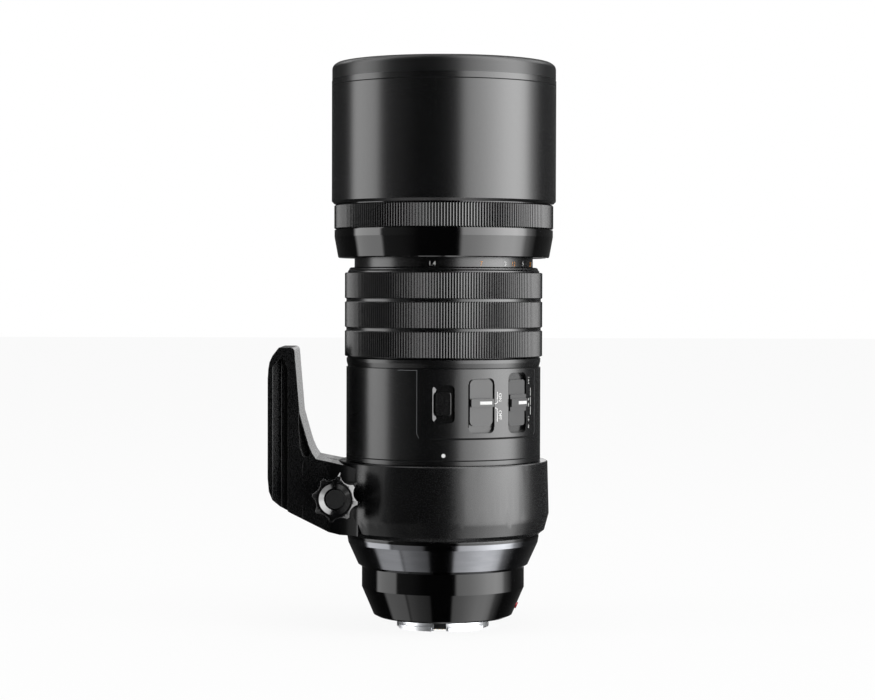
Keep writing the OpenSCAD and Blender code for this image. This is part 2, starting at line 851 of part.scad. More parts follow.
function foot_outline() =
    let (low_z = leg_z + leg_turn_rise + (leg_x - leg_turn_x) * leg_slope,
        top_z = leg_top_z + (leg_x - leg_corner - leg_top_x) * leg_top_slope)
    concat(
        [[leg_x, low_z]],
        [for (s = heel_shares) [foot_x - s[0] * heel_w, low_z + s[1] * (foot_straight_low - low_z)]],
        [[foot_x, foot_straight_low], [foot_x, foot_straight_high]],
        [for (s = crown_shares) [foot_x - s[0] * (foot_x - foot_crown_x),
            foot_straight_high + s[1] * (foot_top_z - foot_straight_high)]],
        arc(foot_inner_top_x + foot_tip_round, foot_top_z - foot_tip_round, foot_tip_round,
            90, 180, 4),
        [[foot_inner_mid_x, foot_inner_mid_z], [foot_flare_x, foot_flare_z],
         [(foot_toe_x + foot_flare_x) / 2, foot_toe_z],
         [foot_toe_x, leg_top_z + (foot_toe_x - leg_top_x) * leg_top_slope]],
        reversed(arc(leg_x - leg_corner, top_z - leg_corner, leg_corner, 0, 90, 6)));

module foot_prism(points, w) {
    translate([0, w / 2, 0]) rotate([90, 0, 0]) mirror([1, 0, 0])
        linear_extrude(height = w) polygon(points);
}

module dovetail_cut(s) {
    rim_x = foot_x - dovetail_rim;
    in_y = foot_w / 2 - dovetail_depth;
    intersection() {
        mirror([1, 0, 0]) linear_extrude(height = foot_top_z) polygon([
            [rim_x + cut, s * (foot_w / 2 + cut)], [rim_x - dovetail_depth, s * in_y],
            [rim_x - dovetail_depth - dovetail_floor, s * in_y],
            [rim_x - dovetail_depth - dovetail_floor, s * (foot_w / 2 + cut)]]);
        foot_prism([[foot_x, 0], [foot_x, dovetail_end_z], [rim_x - dovetail_depth, dovetail_top_z],
            [rim_x - dovetail_depth - dovetail_floor / 2, dovetail_top_z - dovetail_tip],
            [leg_x, dovetail_end_z - dovetail_end_drop], [leg_x, 0]], 2 * foot_w);
    }
}

module scoop(s) {
    translate([0, s * foot_w / 2, 0]) foot_prism([for (p = scoop_shares)
        [scoop_x + p[0] * scoop_w, leg_z + scoop_rise + p[1] * scoop_h]], 2 * scoop_depth);
}

module collar_foot() {
    color("#18191b") difference() {
        foot_prism(foot_outline(), foot_w);
        for (s = [-1, 1]) {
            dovetail_cut(s);
            scoop(s);
        }
        translate([-foot_x + bush_depth, 0, bush_z]) rotate([0, -90, 0])
            cylinder(r = bush_r + seat_gap, h = bush_depth + cut);
        foot_screw_places() {
            cylinder(r = foot_screw_r + seat_gap, h = foot_x + cut);
            at_x(foot_x - foot_screw_head_h - foot_screw_sink)
                cylinder(r = foot_screw_head_r + seat_gap, h = foot_x);
        }
    }
}

module foot_screws() {
    head_x = foot_x - foot_screw_head_h - foot_screw_sink;
    color("#8d9094") foot_screw_places() difference() {
        union() {
            at_x(foot_screw_end_x + seat_gap) cylinder(r = foot_screw_r, h = head_x - foot_screw_end_x);
            at_x(head_x) cylinder(r = foot_screw_head_r, h = foot_screw_head_h);
        }
        at_x(foot_x - foot_screw_sink - foot_screw_head_h / 2)
            cylinder(r = foot_screw_head_r / 2, h = foot_x, $fn = 6);
    }
}

module thread_bush() {
    color("#c9b271") translate([-foot_x + bush_depth, 0, bush_z]) rotate([0, -90, 0])
        ring(bush_r, bush_bore_r, bush_depth);
}

module clamp_knob() {
    front_r = knob_front_d / 2;
    color("#202224") knob_axis() at_z(knob_y) rotate([0, 0, knob_phase]) difference() {
        union() {
            cylinder(r1 = knob_d / 2, r2 = front_r, h = knob_h - knob_front_drop);
            at_z(knob_h - knob_front_drop)
                cylinder(r1 = front_r, r2 = knob_recess_r + knob_rim_flat, h = knob_front_drop);
        }
        for (i = [0:knob_lobes - 1]) rotate([0, 0, (i + 1 / 2) * 360 / knob_lobes])
            translate([knob_valley_r + scallop_r, 0, -cut])
            cylinder(r = scallop_r, h = knob_h + 2 * cut);
        at_z(knob_h - knob_recess_h)
            cylinder(r1 = knob_recess_floor_r, r2 = knob_recess_r, h = knob_recess_h + cut / 100);
        at_z(-cut) cylinder(r = screw_r + seat_gap, h = knob_h);
    }
}

module knob_cap() {
    color("#2a2c2f") knob_axis() at_z(knob_y + knob_h - knob_recess_h)
        cylinder(r = knob_recess_floor_r - seat_gap, h = knob_cap_h);
}

module clamp_screw() {
    color("#8d9094") knob_axis() at_z(-foot_w / 2 - gap) cylinder(r = screw_r,
        h = foot_w / 2 + knob_y + knob_h - knob_recess_h);
}

// Rear

module rear_ring() {
    cone_z = z_ring_top - ring_band_h - ring_facet_h - ring_cone_h;
    color("#6d7074") rotate_extrude() polygon([
        [ring_bore_r, z_rear_ring], [rear_r, z_rear_ring],
        [ring_cone_r, cone_z], [rear_ring_r - ring_facet, z_ring_top - ring_band_h - ring_facet_h],
        [rear_ring_r, z_ring_top - ring_band_h], [rear_ring_r, z_ring_top],
        [barrel_bore_r - seat_gap, z_ring_top], [barrel_bore_r - seat_gap, z_chassis],
        [ring_bore_r, z_chassis]]);
}

module rear_barrel() {
    floor_top = flange_t + rear_floor_h;
    color("#121314") difference() {
        rotate_extrude() polygon([
            [flange_relief_r, flange_t], [flange_r + seal_w + seat_gap, flange_t],
            [flange_r + seal_w + seat_gap, flange_relief], [rear_end_r, flange_relief],
            [rear_low_r, rear_low_z], [rear_r, rear_cone_z], [rear_r, z_rear_ring],
            [rear_r - rear_wall, z_rear_ring], [rear_r - rear_wall, rear_cone_z + rear_wall],
            [rear_low_r - rear_wall / 2, floor_top], [flange_relief_r, floor_top]]);
        mount_screw_places() cylinder(r = mount_screw_r + seat_gap, h = floor_top + cut);
        mount_dot(mount_dot_r + seat_gap, dot_depth + cut);
    }
}

module mount_screw_places() {
    for (a = [45:90:315]) rotate([0, 0, a]) translate([mount_screw_pitch_r, 0, 0]) children();
}

module mount_plate() {
    color("#c8cacc") difference() {
        union() {
            rotate_extrude() polygon([
                [bayonet_r - bayonet_wall, -bayonet_h], [bayonet_r, -bayonet_h],
                [bayonet_r, flange_relief], [flange_relief_r, flange_relief], [flange_relief_r, 0],
                [flange_r, 0], [flange_r, flange_t], [bayonet_r, flange_t],
                [bayonet_r, bayonet_top], [bayonet_r - bayonet_wall, bayonet_top]]);
            for (start = lug_starts) at_z(-bayonet_h)
                sector(bayonet_r - bayonet_wall / 2, lug_r, start, start + lug_span, lug_h);
        }
        at_z(-bayonet_h - cut) sector(bayonet_r - 2 * bayonet_wall, bayonet_r + bayonet_wall,
            bayonet_notch[0], bayonet_notch[1], bayonet_h + cut);
        mount_screw_places() {
            at_z(-cut) cylinder(r = mount_screw_r + seat_gap, h = flange_t + 2 * cut);
            at_z(-cut) cylinder(r = mount_screw_head_r + seat_gap,
                h = cut + mount_screw_head_h + flange_relief);
        }
    }
}

module mount_screws() {
    color("#b8babd") mount_screw_places() difference() {
        union() {
            at_z(flange_relief) cylinder(r = mount_screw_head_r, h = mount_screw_head_h);
            at_z(flange_relief) cylinder(r = mount_screw_r, h = mount_screw_h);
        }
        for (a = [0, 90]) rotate([0, 0, a]) translate([-mount_screw_r, -flange_relief / 2, 0])
            cube([2 * mount_screw_r, flange_relief, 2 * flange_relief]);
    }
}

module mount_seal() {
    color("#0d0d0e") at_z(flange_relief)
        ring(flange_r + seal_w, flange_r + seat_gap, flange_t - flange_relief);
}

module contact_block() {
    out_r = bayonet_r - bayonet_wall - seat_gap;
    color("#141414") at_z(-contact_low) difference() {
        sector(contact_in_r, out_r, -contact_span / 2, contact_span / 2, contact_low + contact_top);
        contact_places() at_z(-cut) cylinder(r = contact_pin_r + seat_gap,
            h = contact_low + contact_top);
    }
}

module contact_places() {
    for (i = [0:contact_count - 1]) at_azimuth((i - (contact_count - 1) / 2) * contact_pitch)
        translate([contact_pin_circle_r, 0, 0]) children();
}

module contact_pins() {
    color("#d4af4e") at_z(-contact_low - contact_pin_out) contact_places()
        cylinder(r = contact_pin_r, h = contact_low + contact_top - cut + contact_pin_out);
}

module rear_baffle() {
    out_r = bayonet_r - bayonet_wall - seat_gap;
    color("#101011") at_z(-baffle_low) difference() {
        cylinder(r = out_r, h = baffle_low + baffle_top);
        translate([-baffle_w / 2, -baffle_d / 2, -cut])
            cube([baffle_w, baffle_d, baffle_low + baffle_top + 2 * cut]);
        at_z(-cut) sector(contact_in_r - gap, out_r + cut, -contact_span / 2 - contact_side_angle,
            contact_span / 2 + contact_side_angle, baffle_low + baffle_top + 2 * cut);
    }
}

// Front group

module front_barrel() {
    thin_r = front_r - front_wall;
    top_bore = element_1_r + seat_gap;
    mid_bore = element_2_r + seat_gap;
    low_bore = doublet_r + seat_gap;
    color("#1a1b1c") rotate_extrude() polygon([
        [front_r, z_front], [front_r, z_front_top], [filter_r, z_front_top],
        [filter_r, z_front_top - thread_h], [filter_r + thread_relief, z_front_top - thread_h],
        [filter_r + thread_relief, z_retainer + retainer_seat_h],
        [filter_r, z_retainer + retainer_seat_h], [filter_r, z_retainer], [top_bore, z_retainer],
        [top_bore, z_element_1], [top_bore - shelf_w, z_element_1],
        [top_bore - shelf_w, z_element_1 - shelf_h], [thin_r, z_element_1 - shelf_h],
        [thin_r, z_element_2 + cell_h], [mid_bore, z_element_2 + cell_h],
        [mid_bore, z_element_2], [mid_bore - shelf_w, z_element_2],
        [mid_bore - shelf_w, z_element_2 - shelf_h], [thin_r, z_element_2 - shelf_h],
        [thin_r, z_doublet + cell_h + shelf_h], [low_bore, z_doublet + cell_h + shelf_h],
        [low_bore, z_doublet], [low_bore - shelf_w, z_doublet],
        [low_bore - shelf_w, z_doublet - shelf_h], [thin_r, z_doublet - shelf_h],
        [thin_r, z_chassis_top + shelf_h], [chassis_bore_r, z_chassis_top + shelf_h],
        [chassis_bore_r, z_chassis_top], [chassis_r + seat_gap, z_chassis_top],
        [chassis_r + seat_gap, z_front]]);
}

module front_retaining_ring() {
    color("#101112") at_z(z_retainer)
        ring(filter_r - seat_gap, element_1_r - retainer_w, retainer_h);
}

module front_element() {
    spacer_h = element_1_h - element_1_edge - retainer_rise;
    color("#3d5b52", 0.5) at_z(z_element_1 + spacer_h)
        element(element_1_r, element_1_edge, element_1_crown, -element_1_hollow);
    color("#101112") at_z(z_element_1)
        ring(element_1_r, element_1_r - shelf_w, spacer_h - seat_gap);
}

module second_element() {
    color("#3d5b52", 0.5) at_z(z_element_2)
        element(element_2_r, element_2_edge, element_2_crown, -element_2_hollow);
}

module front_doublet() {
    color("#3d5b52", 0.5) at_z(z_doublet) {
        rotate_extrude() polygon(concat(bowl(doublet_r, 0, doublet_rear_hollow),
            reversed(bowl(doublet_r, doublet_rear_edge, -doublet_joint / 2))));
        rotate_extrude() polygon(concat(bowl(doublet_r, doublet_rear_edge + seat_gap, -doublet_joint / 2),
            reversed(bowl(doublet_r, doublet_rear_edge + doublet_edge, doublet_crown))));
    }
}

// Chassis, focusing group

module inner_chassis() {
    flange_r_out = barrel_bore_r - seat_gap;
    color("#26282b") rotate_extrude() polygon([
        [chassis_bore_r, z_chassis], [flange_r_out, z_chassis],
        [flange_r_out, z_chassis + chassis_flange_h], [chassis_r, z_chassis + chassis_flange_h],
        [chassis_r, z_barrel_top - chassis_mid_h], [flange_r_out, z_barrel_top - chassis_mid_h],
        [flange_r_out, z_barrel_top], [chassis_r, z_barrel_top], [chassis_r, z_chassis_top],
        [chassis_bore_r, z_chassis_top]]);
}

module rod_places() {
    for (a = [90, 270]) rotate([0, 0, a]) translate([rod_circle_r, 0, 0]) children();
}

module guide_rods() {
    color("#c4c6c9") at_z(z_bay - rod_seat + seat_gap) rod_places()
        cylinder(r = rod_r, h = focus_bay_h + 3 / 2 * rod_seat - 2 * seat_gap);
}

module focus_motor() {
    color("#3c3f43") translate([motor_circle_r, 0, z_iris - motor_h]) {
        cylinder(r = motor_r, h = motor_h);
        at_z(-motor_h / 5) difference() {
            cylinder(r = motor_r / 2, h = motor_h / 5);
            at_z(-cut) cylinder(r = lead_r + gap, h = motor_h / 5 + cut);
        }
    }
}

module lead_screw() {
    low = z_bay + gap;
    color("#b9bcc0") translate([motor_circle_r, 0, low])
        cylinder(r = lead_r, h = z_iris - motor_h - gap - low);
}

module focus_cell() {
    out_r = focus_glass_r + cell_wall;
    color("#2b2d30") at_z(z_bay + focus_cell_z) difference() {
        union() {
            cylinder(r = out_r, h = focus_cell_h);
            for (a = [90, 270]) rotate([0, 0, a]) {
                translate([0, -ear_r, 0]) cube([rod_circle_r, 2 * ear_r, focus_cell_h]);
                translate([rod_circle_r, 0, 0]) cylinder(r = rod_r + ear_reach, h = focus_cell_h);
            }
            translate([0, -nut_r, 0]) cube([motor_circle_r, 2 * nut_r, focus_cell_h / 3]);
            translate([motor_circle_r, 0, 0]) cylinder(r = nut_r, h = focus_cell_h / 3);
        }
        at_z(-cut) cylinder(r = focus_glass_r - focus_shelf, h = focus_cell_h + 2 * cut);
        at_z(focus_shelf) cylinder(r = focus_glass_r + seat_gap, h = focus_cell_h);
        at_z(-cut) rod_places() cylinder(r = rod_r + run_gap, h = focus_cell_h + 2 * cut);
        translate([motor_circle_r, 0, -cut])
            cylinder(r = lead_r + run_gap, h = focus_cell_h + 2 * cut);
    }
}

module focus_element() {
    color("#3d5b52", 0.5) at_z(z_bay + focus_cell_z + focus_shelf) {
        rotate_extrude() polygon(concat(bowl(focus_glass_r, 0, focus_hollow),
            reversed(bowl(focus_glass_r, focus_edge, -focus_joint / 2))));
        rotate_extrude() polygon(concat(bowl(focus_glass_r, focus_edge + seat_gap, -focus_joint / 2),
            reversed(bowl(focus_glass_r, 2 * focus_edge, focus_crown))));
    }
}

// Stabiliser

module is_base() {
    color("#2a2c2f") difference() {
        union() {
            at_z(z_is) ring(inner_r, is_bore_r, is_floor_h);
            at_z(z_is) ring(inner_r, inner_r - is_wall, is_h);
            for (x = [-1, 1]) translate([x * pitch_rail_x - rail_w / 2, -rail_w, z_is])
                cube([rail_w, 2 * rail_w, is_floor_h + rail_h]);
            for (a = [90, 270]) rotate([0, 0, a])
                translate([rod_circle_r - rod_r - ear_reach, -ear_r, z_bay - rod_block_h])
                cube([rod_r + ear_reach, 2 * ear_r, rod_block_h]);
            translate([motor_circle_r - nut_r, -nut_r, z_bay - rod_block_h])
                cube([inner_r - is_wall / 2 - motor_circle_r + nut_r, 2 * nut_r, rod_block_h]);
        }
        at_z(z_bay - rod_seat) rod_places() cylinder(r = rod_r + seat_gap, h = focus_bay_h);
    }
    color("#9a9da0") for (a = [0, 270]) rotate([0, 0, a + 45])
        translate([inner_r - is_wall - magnet_w, -magnet_l / 2, z_bay - magnet_h])
        cube([magnet_w + edge_chamfer, magnet_l, magnet_h]);
}

module is_pitch_frame() {
    color("#33363a") at_z(z_pitch) difference() {
        union() {
            cylinder(r = pitch_frame_r, h = frame_t);
            for (y = [-1, 1]) translate([-rail_w, y * yaw_rail_y - rail_w / 2, 0])
                cube([2 * rail_w, rail_w, frame_t + rail_h]);
        }
        at_z(-cut) cylinder(r = pitch_bore_r, h = frame_t + 2 * cut);
        for (x = [-1, 1]) translate([x * pitch_rail_x - rail_w / 2 - run_gap,
            -rail_w - shift_travel - gap, -cut])
            cube([rail_w + 2 * run_gap, 2 * (rail_w + shift_travel + gap), cut + rail_h + gap]);
    }
}

module is_yaw_frame() {
    color("#3a3d41") at_z(z_yaw) difference() {
        union() {
            cylinder(r = yaw_frame_r, h = frame_t);
            cylinder(r = yaw_barrel_r, h = frame_t + yaw_barrel_h);
        }
        at_z(-cut) cylinder(r = is_glass_r - shelf_w, h = frame_t + yaw_barrel_h + 2 * cut);
        at_z(frame_t / 2) cylinder(r = is_glass_r + seat_gap, h = frame_t + yaw_barrel_h);
        for (y = [-1, 1]) translate([-rail_w - shift_travel - gap,
            y * yaw_rail_y - rail_w / 2 - run_gap, -cut])
            cube([2 * (rail_w + shift_travel + gap), rail_w + 2 * run_gap, cut + rail_h + gap]);
    }
}

module is_elements() {
    color("#3d5b52", 0.5) at_z(z_yaw + frame_t / 2) {
        element(is_glass_r, is_edge, is_crown, -is_hollow);
        at_z(is_edge) ring(is_glass_r, is_glass_r - shelf_w / 2, is_edge);
        at_z(2 * is_edge + seat_gap) element(is_glass_r, is_edge, -is_hollow / 2, -is_hollow / 2);
    }
}

// Diaphragm

module iris_base() {
    color("#232528") difference() {
        union() {
            at_z(z_iris) ring(inner_r, iris_bore_r, iris_floor_h);
            at_z(z_iris) ring(inner_r, iris_wall_r, iris_wall_top - z_iris);
            at_z(z_iris) ring(iris_wall_r + edge_chamfer, iris_wall_r - iris_ledge,
                iris_ring_z - blade_pitch / 3 - z_iris);
            for (i = [0:blade_count - 1]) rotate([0, 0, i * 360 / blade_count])
                translate([pivot_circle_r, 0, z_iris]) cylinder(r = pivot_r, h = stack_top - z_iris);
        }
        at_z(z_iris - cut) rod_places() cylinder(r = rod_r + seat_gap, h = cut + rod_seat / 2);
    }
    color("#2c2e31") at_z(iris_wall_top) ring(inner_r, iris_bore_r, iris_cover_h);
}

// Where a blade's drive pin is when the blade has turned by a about its pivot
function drive_at(a) = [pivot_circle_r, 0] + turned([drive_arm, 0], drive_home + a);

module iris_blade(i) {
    level = stack_z + (i - 1) * blade_pitch;
    pin = drive_at(0);
    color("#1c1d1f") rotate([0, 0, (i - 1) * 360 / blade_count]) difference() {
        union() {
            at_z(level) linear_extrude(height = blade_t) difference() {
                union() {
                    polygon(concat(arc(0, 0, blade_r_out, 0, blade_span, 20),
                        reversed(arc(0, 0, iris_open_r, 0, blade_span, 20))));
                    polygon([[blade_r_out - drive_arm, 0], [pivot_circle_r, -blade_ear_r],
                        [pivot_circle_r + blade_ear_r, 0], [pivot_circle_r - blade_ear_r, blade_ear_r * 2],
                        [blade_r_out - drive_arm, blade_ear_r * 2]]);
                    translate([pivot_circle_r, 0]) circle(r = blade_ear_r);
                    translate(pin) circle(r = drive_pin_r * 2);
                    polygon([[pivot_circle_r - blade_ear_r, 0], pin - [drive_pin_r * 2, 0],
                        pin + [drive_pin_r * 2, 0], [pivot_circle_r + blade_ear_r, 0]]);
                }
                translate([pivot_circle_r, 0]) circle(r = pivot_r + run_gap);
            }
            translate([pin[0], pin[1], level])
                cylinder(r = drive_pin_r, h = iris_ring_z + iris_ring_h - level);
        }
    }
}

// Slot that the drive pin runs along as the ring turns: its middle line and its two sides
function slot_path() = [for (k = [-1:11]) let (turn = iris_turn * k / 10)
    turned(drive_at(turn * blade_ratio), -turn)];

function slot_side(path, offset_r) = [for (k = [0:len(path) - 1])
    let (a = path[max(k - 1, 0)], b = path[min(k + 1, len(path) - 1)], d = (b - a) / norm(b - a))
    path[k] + offset_r * [-d[1], d[0]]];

module iris_ring() {
    path = slot_path();
    half = drive_pin_r + gap / 2;
    color("#5b5e63") difference() {
        at_z(iris_ring_z) ring(iris_wall_r - gap, iris_wall_r - gap - iris_ring_w, iris_ring_h);
        for (i = [0:blade_count - 1]) rotate([0, 0, i * 360 / blade_count])
            at_z(iris_ring_z - cut) linear_extrude(height = iris_ring_h + 2 * cut)
            polygon(concat(slot_side(path, half), reversed(slot_side(path, -half))));
    }
}

// Rear group

// Height and radius of each rear element, counted from the mount
function rear_glass_z(i) = rear_cell_z + rear_glass_place_shares[i] * (z_is - rear_cell_z);

function rear_glass_r(i) = rear_cell_r - rear_cell_wall - (2 - i) * rear_glass_step;

module rear_cell() {
    top = z_is - rear_cell_flange;
    color("#202225") difference() {
        union() {
            at_z(top) cylinder(r = inner_r, h = rear_cell_flange);
            at_z(rear_cell_z) cylinder(r = rear_cell_r, h = z_is - rear_cell_z);
        }
        at_z(rear_cell_z - cut) cylinder(r = rear_glass_r(0) - shelf_w, h = z_is);
        for (i = [0:2]) at_z(rear_glass_z(i)) cylinder(r = rear_glass_r(i) + seat_gap, h = z_is);
    }
}

module rear_elements() {
    color("#3d5b52", 0.5) for (i = [0:2]) at_z(rear_glass_z(i))
        element(rear_glass_r(i), rear_glass_edge, rear_glass_crown * rear_glass_crown_shares[i],
            -rear_glass_hollow * rear_glass_hollow_shares[i]);
}

main_barrel();
switch_panel();
circuit_boards();
grip_stop_ring();
front_barrel();
front_retaining_ring();
front_element();
second_element();
front_doublet();
inner_chassis();
iris_base();
guide_rods();
focus_motor();
is_base();
rear_cell();
rear_elements();
rear_ring();
rear_barrel();
mount_plate();
mount_screws();
mount_seal();
contact_block();
contact_pins();
rear_baffle();
index_dots();
collar_glide();
hood_shell();
hood_front_ring();
hood_lining();
hood_base_ring();
hood_lock_ring();
scale_ring();
focus_grip();
clutch_sleeve();
fn_button();
is_switch();
limiter_switch();
tripod_collar();
collar_foot();
foot_screws();
thread_bush();
clamp_knob();
knob_cap();
clamp_screw();
focus_cell();
focus_element();
lead_screw();
is_pitch_frame();
is_yaw_frame();
is_elements();
iris_ring();
iris_blade(1);  // iris_blade_1
iris_blade(2);  // iris_blade_2
iris_blade(3);  // iris_blade_3
iris_blade(4);  // iris_blade_4
iris_blade(5);  // iris_blade_5
iris_blade(6);  // iris_blade_6
iris_blade(7);  // iris_blade_7
iris_blade(8);  // iris_blade_8
iris_blade(9);  // iris_blade_9
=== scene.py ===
import math

import bmesh
import bpy
from mathutils import Matrix, Vector


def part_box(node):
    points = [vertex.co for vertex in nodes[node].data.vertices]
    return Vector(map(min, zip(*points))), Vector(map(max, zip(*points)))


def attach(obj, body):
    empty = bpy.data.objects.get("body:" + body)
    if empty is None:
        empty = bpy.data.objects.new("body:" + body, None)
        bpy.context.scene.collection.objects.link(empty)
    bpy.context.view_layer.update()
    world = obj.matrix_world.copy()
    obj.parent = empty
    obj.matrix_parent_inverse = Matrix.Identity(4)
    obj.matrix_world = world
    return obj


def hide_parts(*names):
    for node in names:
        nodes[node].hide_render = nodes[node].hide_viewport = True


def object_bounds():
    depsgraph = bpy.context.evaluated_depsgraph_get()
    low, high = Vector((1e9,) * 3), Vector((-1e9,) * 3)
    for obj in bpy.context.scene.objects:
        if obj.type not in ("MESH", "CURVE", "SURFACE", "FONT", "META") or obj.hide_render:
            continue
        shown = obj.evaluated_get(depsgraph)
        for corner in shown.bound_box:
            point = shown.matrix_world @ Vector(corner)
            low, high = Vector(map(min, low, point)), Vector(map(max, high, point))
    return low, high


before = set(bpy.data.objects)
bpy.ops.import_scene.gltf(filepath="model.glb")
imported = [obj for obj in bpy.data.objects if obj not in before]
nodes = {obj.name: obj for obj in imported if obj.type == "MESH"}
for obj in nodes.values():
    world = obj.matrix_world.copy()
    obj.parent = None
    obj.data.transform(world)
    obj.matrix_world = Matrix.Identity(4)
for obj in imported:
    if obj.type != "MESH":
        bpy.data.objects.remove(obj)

# A super telephoto lens standing on its mount, dressed over its CAD frame. Metres, +Z towards the subject.
# Azimuth 0 faces the camera along -Y and grows towards +X.

MM = 0.001
cad_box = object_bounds()


def top(node):
    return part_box(node)[1].z


def low(node):
    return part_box(node)[0].z


def radius(node):
    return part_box(node)[1].x


# Materials

# Most of a noise's values lie between these
NOISE_LOW, NOISE_HIGH = 0.3, 0.7


def shader(name):
    material = bpy.data.materials.new(name)
    material.use_nodes = True
    tree = material.node_tree
    return material, tree, tree.nodes["Principled BSDF"]


def noise(tree, coords, scale, detail=2.0, stretch=(1, 1, 1)):
    spread = tree.nodes.new("ShaderNodeMapping")
    spread.inputs["Scale"].default_value = stretch
    tree.links.new(coords, spread.inputs["Vector"])
    texture = tree.nodes.new("ShaderNodeTexNoise")
    texture.inputs["Scale"].default_value = scale
    texture.inputs["Detail"].default_value = detail
    tree.links.new(spread.outputs["Vector"], texture.inputs["Vector"])
    return texture.outputs["Fac"]


def ranged(tree, value, low_value, high_value):
    """A noise spread over the range from low_value to high_value."""
    node = tree.nodes.new("ShaderNodeMapRange")
    node.inputs["From Min"].default_value = NOISE_LOW
    node.inputs["From Max"].default_value = NOISE_HIGH
    node.inputs["To Min"].default_value = low_value
    node.inputs["To Max"].default_value = high_value
    tree.links.new(value, node.inputs["Value"])
    return node.outputs["Result"]


def blend_colours(tree, value, first, second):
    node = tree.nodes.new("ShaderNodeMix")
    node.data_type = "RGBA"
    node.inputs[6].default_value = (*first, 1)
    node.inputs[7].default_value = (*second, 1)
    tree.links.new(value, node.inputs[0])
    return node.outputs[2]


def maths(tree, operation, first, second):
    node = tree.nodes.new("ShaderNodeMath")
    node.operation = operation
    for socket, value in ((node.inputs[0], first), (node.inputs[1], second)):
        if isinstance(value, (int, float)):
            socket.default_value = value
        else:
            tree.links.new(value, socket)
    return node.outputs[0]


def read_off(tree, value, low_value, high_value, stops, full=1):
    """A level, as a share of full, that runs straight between stops of value and level."""
    scaled = tree.nodes.new("ShaderNodeMapRange")
    scaled.inputs["From Min"].default_value = low_value
    scaled.inputs["From Max"].default_value = high_value
    tree.links.new(value, scaled.inputs["Value"])
    ramp = tree.nodes.new("ShaderNodeValToRGB")
    elements = ramp.color_ramp.elements
    while len(elements) < len(stops):
        elements.new(0.5)
    for element, (at, level) in zip(elements, stops):
        element.position = (at - low_value) / (high_value - low_value)
        element.color = (level / full, level / full, level / full, 1)
    tree.links.new(scaled.outputs["Result"], ramp.inputs["Fac"])
    return ramp.outputs["Color"]


def finish(name, colours, rough, grain=3000, depth=0.01, strength=0.1, patch=90, stretch=(1, 1, 1), **shine):
    """A finish with two mixed shades, a roughness that wanders and a fine grain in relief."""
    material, tree, bsdf = shader(name)
    coords = tree.nodes.new("ShaderNodeTexCoord").outputs["Object"]
    wide = noise(tree, coords, patch, detail=3.0, stretch=stretch)
    fine = noise(tree, coords, grain, stretch=stretch)
    shades = ranged(tree, wide, 0, 1)
    tree.links.new(blend_colours(tree, shades, *colours), bsdf.inputs["Base Color"])
    tree.links.new(ranged(tree, fine, *rough), bsdf.inputs["Roughness"])
    bump = tree.nodes.new("ShaderNodeBump")
    bump.inputs["Strength"].default_value = strength
    bump.inputs["Distance"].default_value = depth * MM
    tree.links.new(fine, bump.inputs["Height"])
    tree.links.new(bump.outputs["Normal"], bsdf.inputs["Normal"])
    for socket, value in shine.items():
        bsdf.inputs[socket.replace("_", " ")].default_value = value
    return material


BLACK = ((0.0018, 0.0019, 0.002), (0.0026, 0.0027, 0.0029))
DEEP = ((0.0009, 0.0009, 0.001), (0.0013, 0.0013, 0.0014))
finishes = {
    "anodised_black": (BLACK, (0.22, 0.28), dict(grain=5200, strength=0.1)),
    "gloss_black": (DEEP, (0.05, 0.075), dict(grain=900, depth=0.004, strength=0.05)),
    "ribbed_black": (BLACK, (0.2, 0.24), dict(grain=5200, strength=0.03)),
    "collar_black": (BLACK, (0.23, 0.29), dict(grain=2600, depth=0.02, strength=0.16)),
    "button_black": (DEEP, (0.22, 0.3), dict(grain=4200, depth=0.03, strength=0.3)),
    "seam_black": (DEEP, (0.6, 0.7), dict(strength=0.05, Specular_IOR_Level=0.08)),
    "rear_gloss": (DEEP, (0.06, 0.09), dict(grain=900, depth=0.004, strength=0.05, Specular_IOR_Level=0.38)),
    "bright_grey": (((0.115, 0.118, 0.125), (0.13, 0.132, 0.14)), (0.09, 0.13),
                    dict(grain=2400, strength=0.05, stretch=(1, 1, 6), Metallic=1.0)),
    "soft_black": (BLACK, (0.3, 0.37), dict(grain=3800, depth=0.02, strength=0.15, Specular_IOR_Level=0.37)),
    "flock_black": (DEEP, (0.85, 0.95),
                    dict(grain=7000, depth=0.15, strength=0.8, Sheen_Weight=0.15, Sheen_Roughness=0.5)),
    "switch_black": (((0.0052, 0.0054, 0.0055), (0.0064, 0.0066, 0.0068)), (0.3, 0.38),
                     dict(grain=6500, depth=0.02, strength=0.15)),
    "knob_black": (BLACK, (0.12, 0.18), dict(grain=4200, strength=0.08, Specular_IOR_Level=1.0)),
    "cell_black": (((0.008, 0.008, 0.0085), (0.012, 0.012, 0.013)), (0.45, 0.55),
                   dict(grain=4500, depth=0.02, strength=0.15)),
    "blade_black": (((0.035, 0.036, 0.04), (0.05, 0.051, 0.056)), (0.3, 0.4),
                    dict(grain=1800, strength=0.1, stretch=(1, 6, 1), Metallic=1.0)),
    "steel": (((0.5, 0.51, 0.53), (0.6, 0.61, 0.63)), (0.22, 0.32),
              dict(grain=2600, strength=0.1, stretch=(1, 1, 5), Metallic=1.0)),
    "bayonet_chrome": (((0.62, 0.63, 0.65), (0.72, 0.73, 0.75)), (0.3, 0.38),
                       dict(grain=1500, strength=0.06, stretch=(1, 1, 8), Metallic=1.0)),
    "brass": (((0.75, 0.56, 0.24), (0.83, 0.66, 0.32)), (0.18, 0.26),
              dict(grain=2600, strength=0.06, Metallic=1.0)),
    "circuit_green": (((0.02, 0.11, 0.05), (0.035, 0.16, 0.075)), (0.25, 0.4),
                      dict(grain=900, depth=0.03, strength=0.3, patch=400, Coat_Weight=0.4)),
}
looks = {name: finish(name, colours, rough, **more) for name, (colours, rough, more) in finishes.items()}


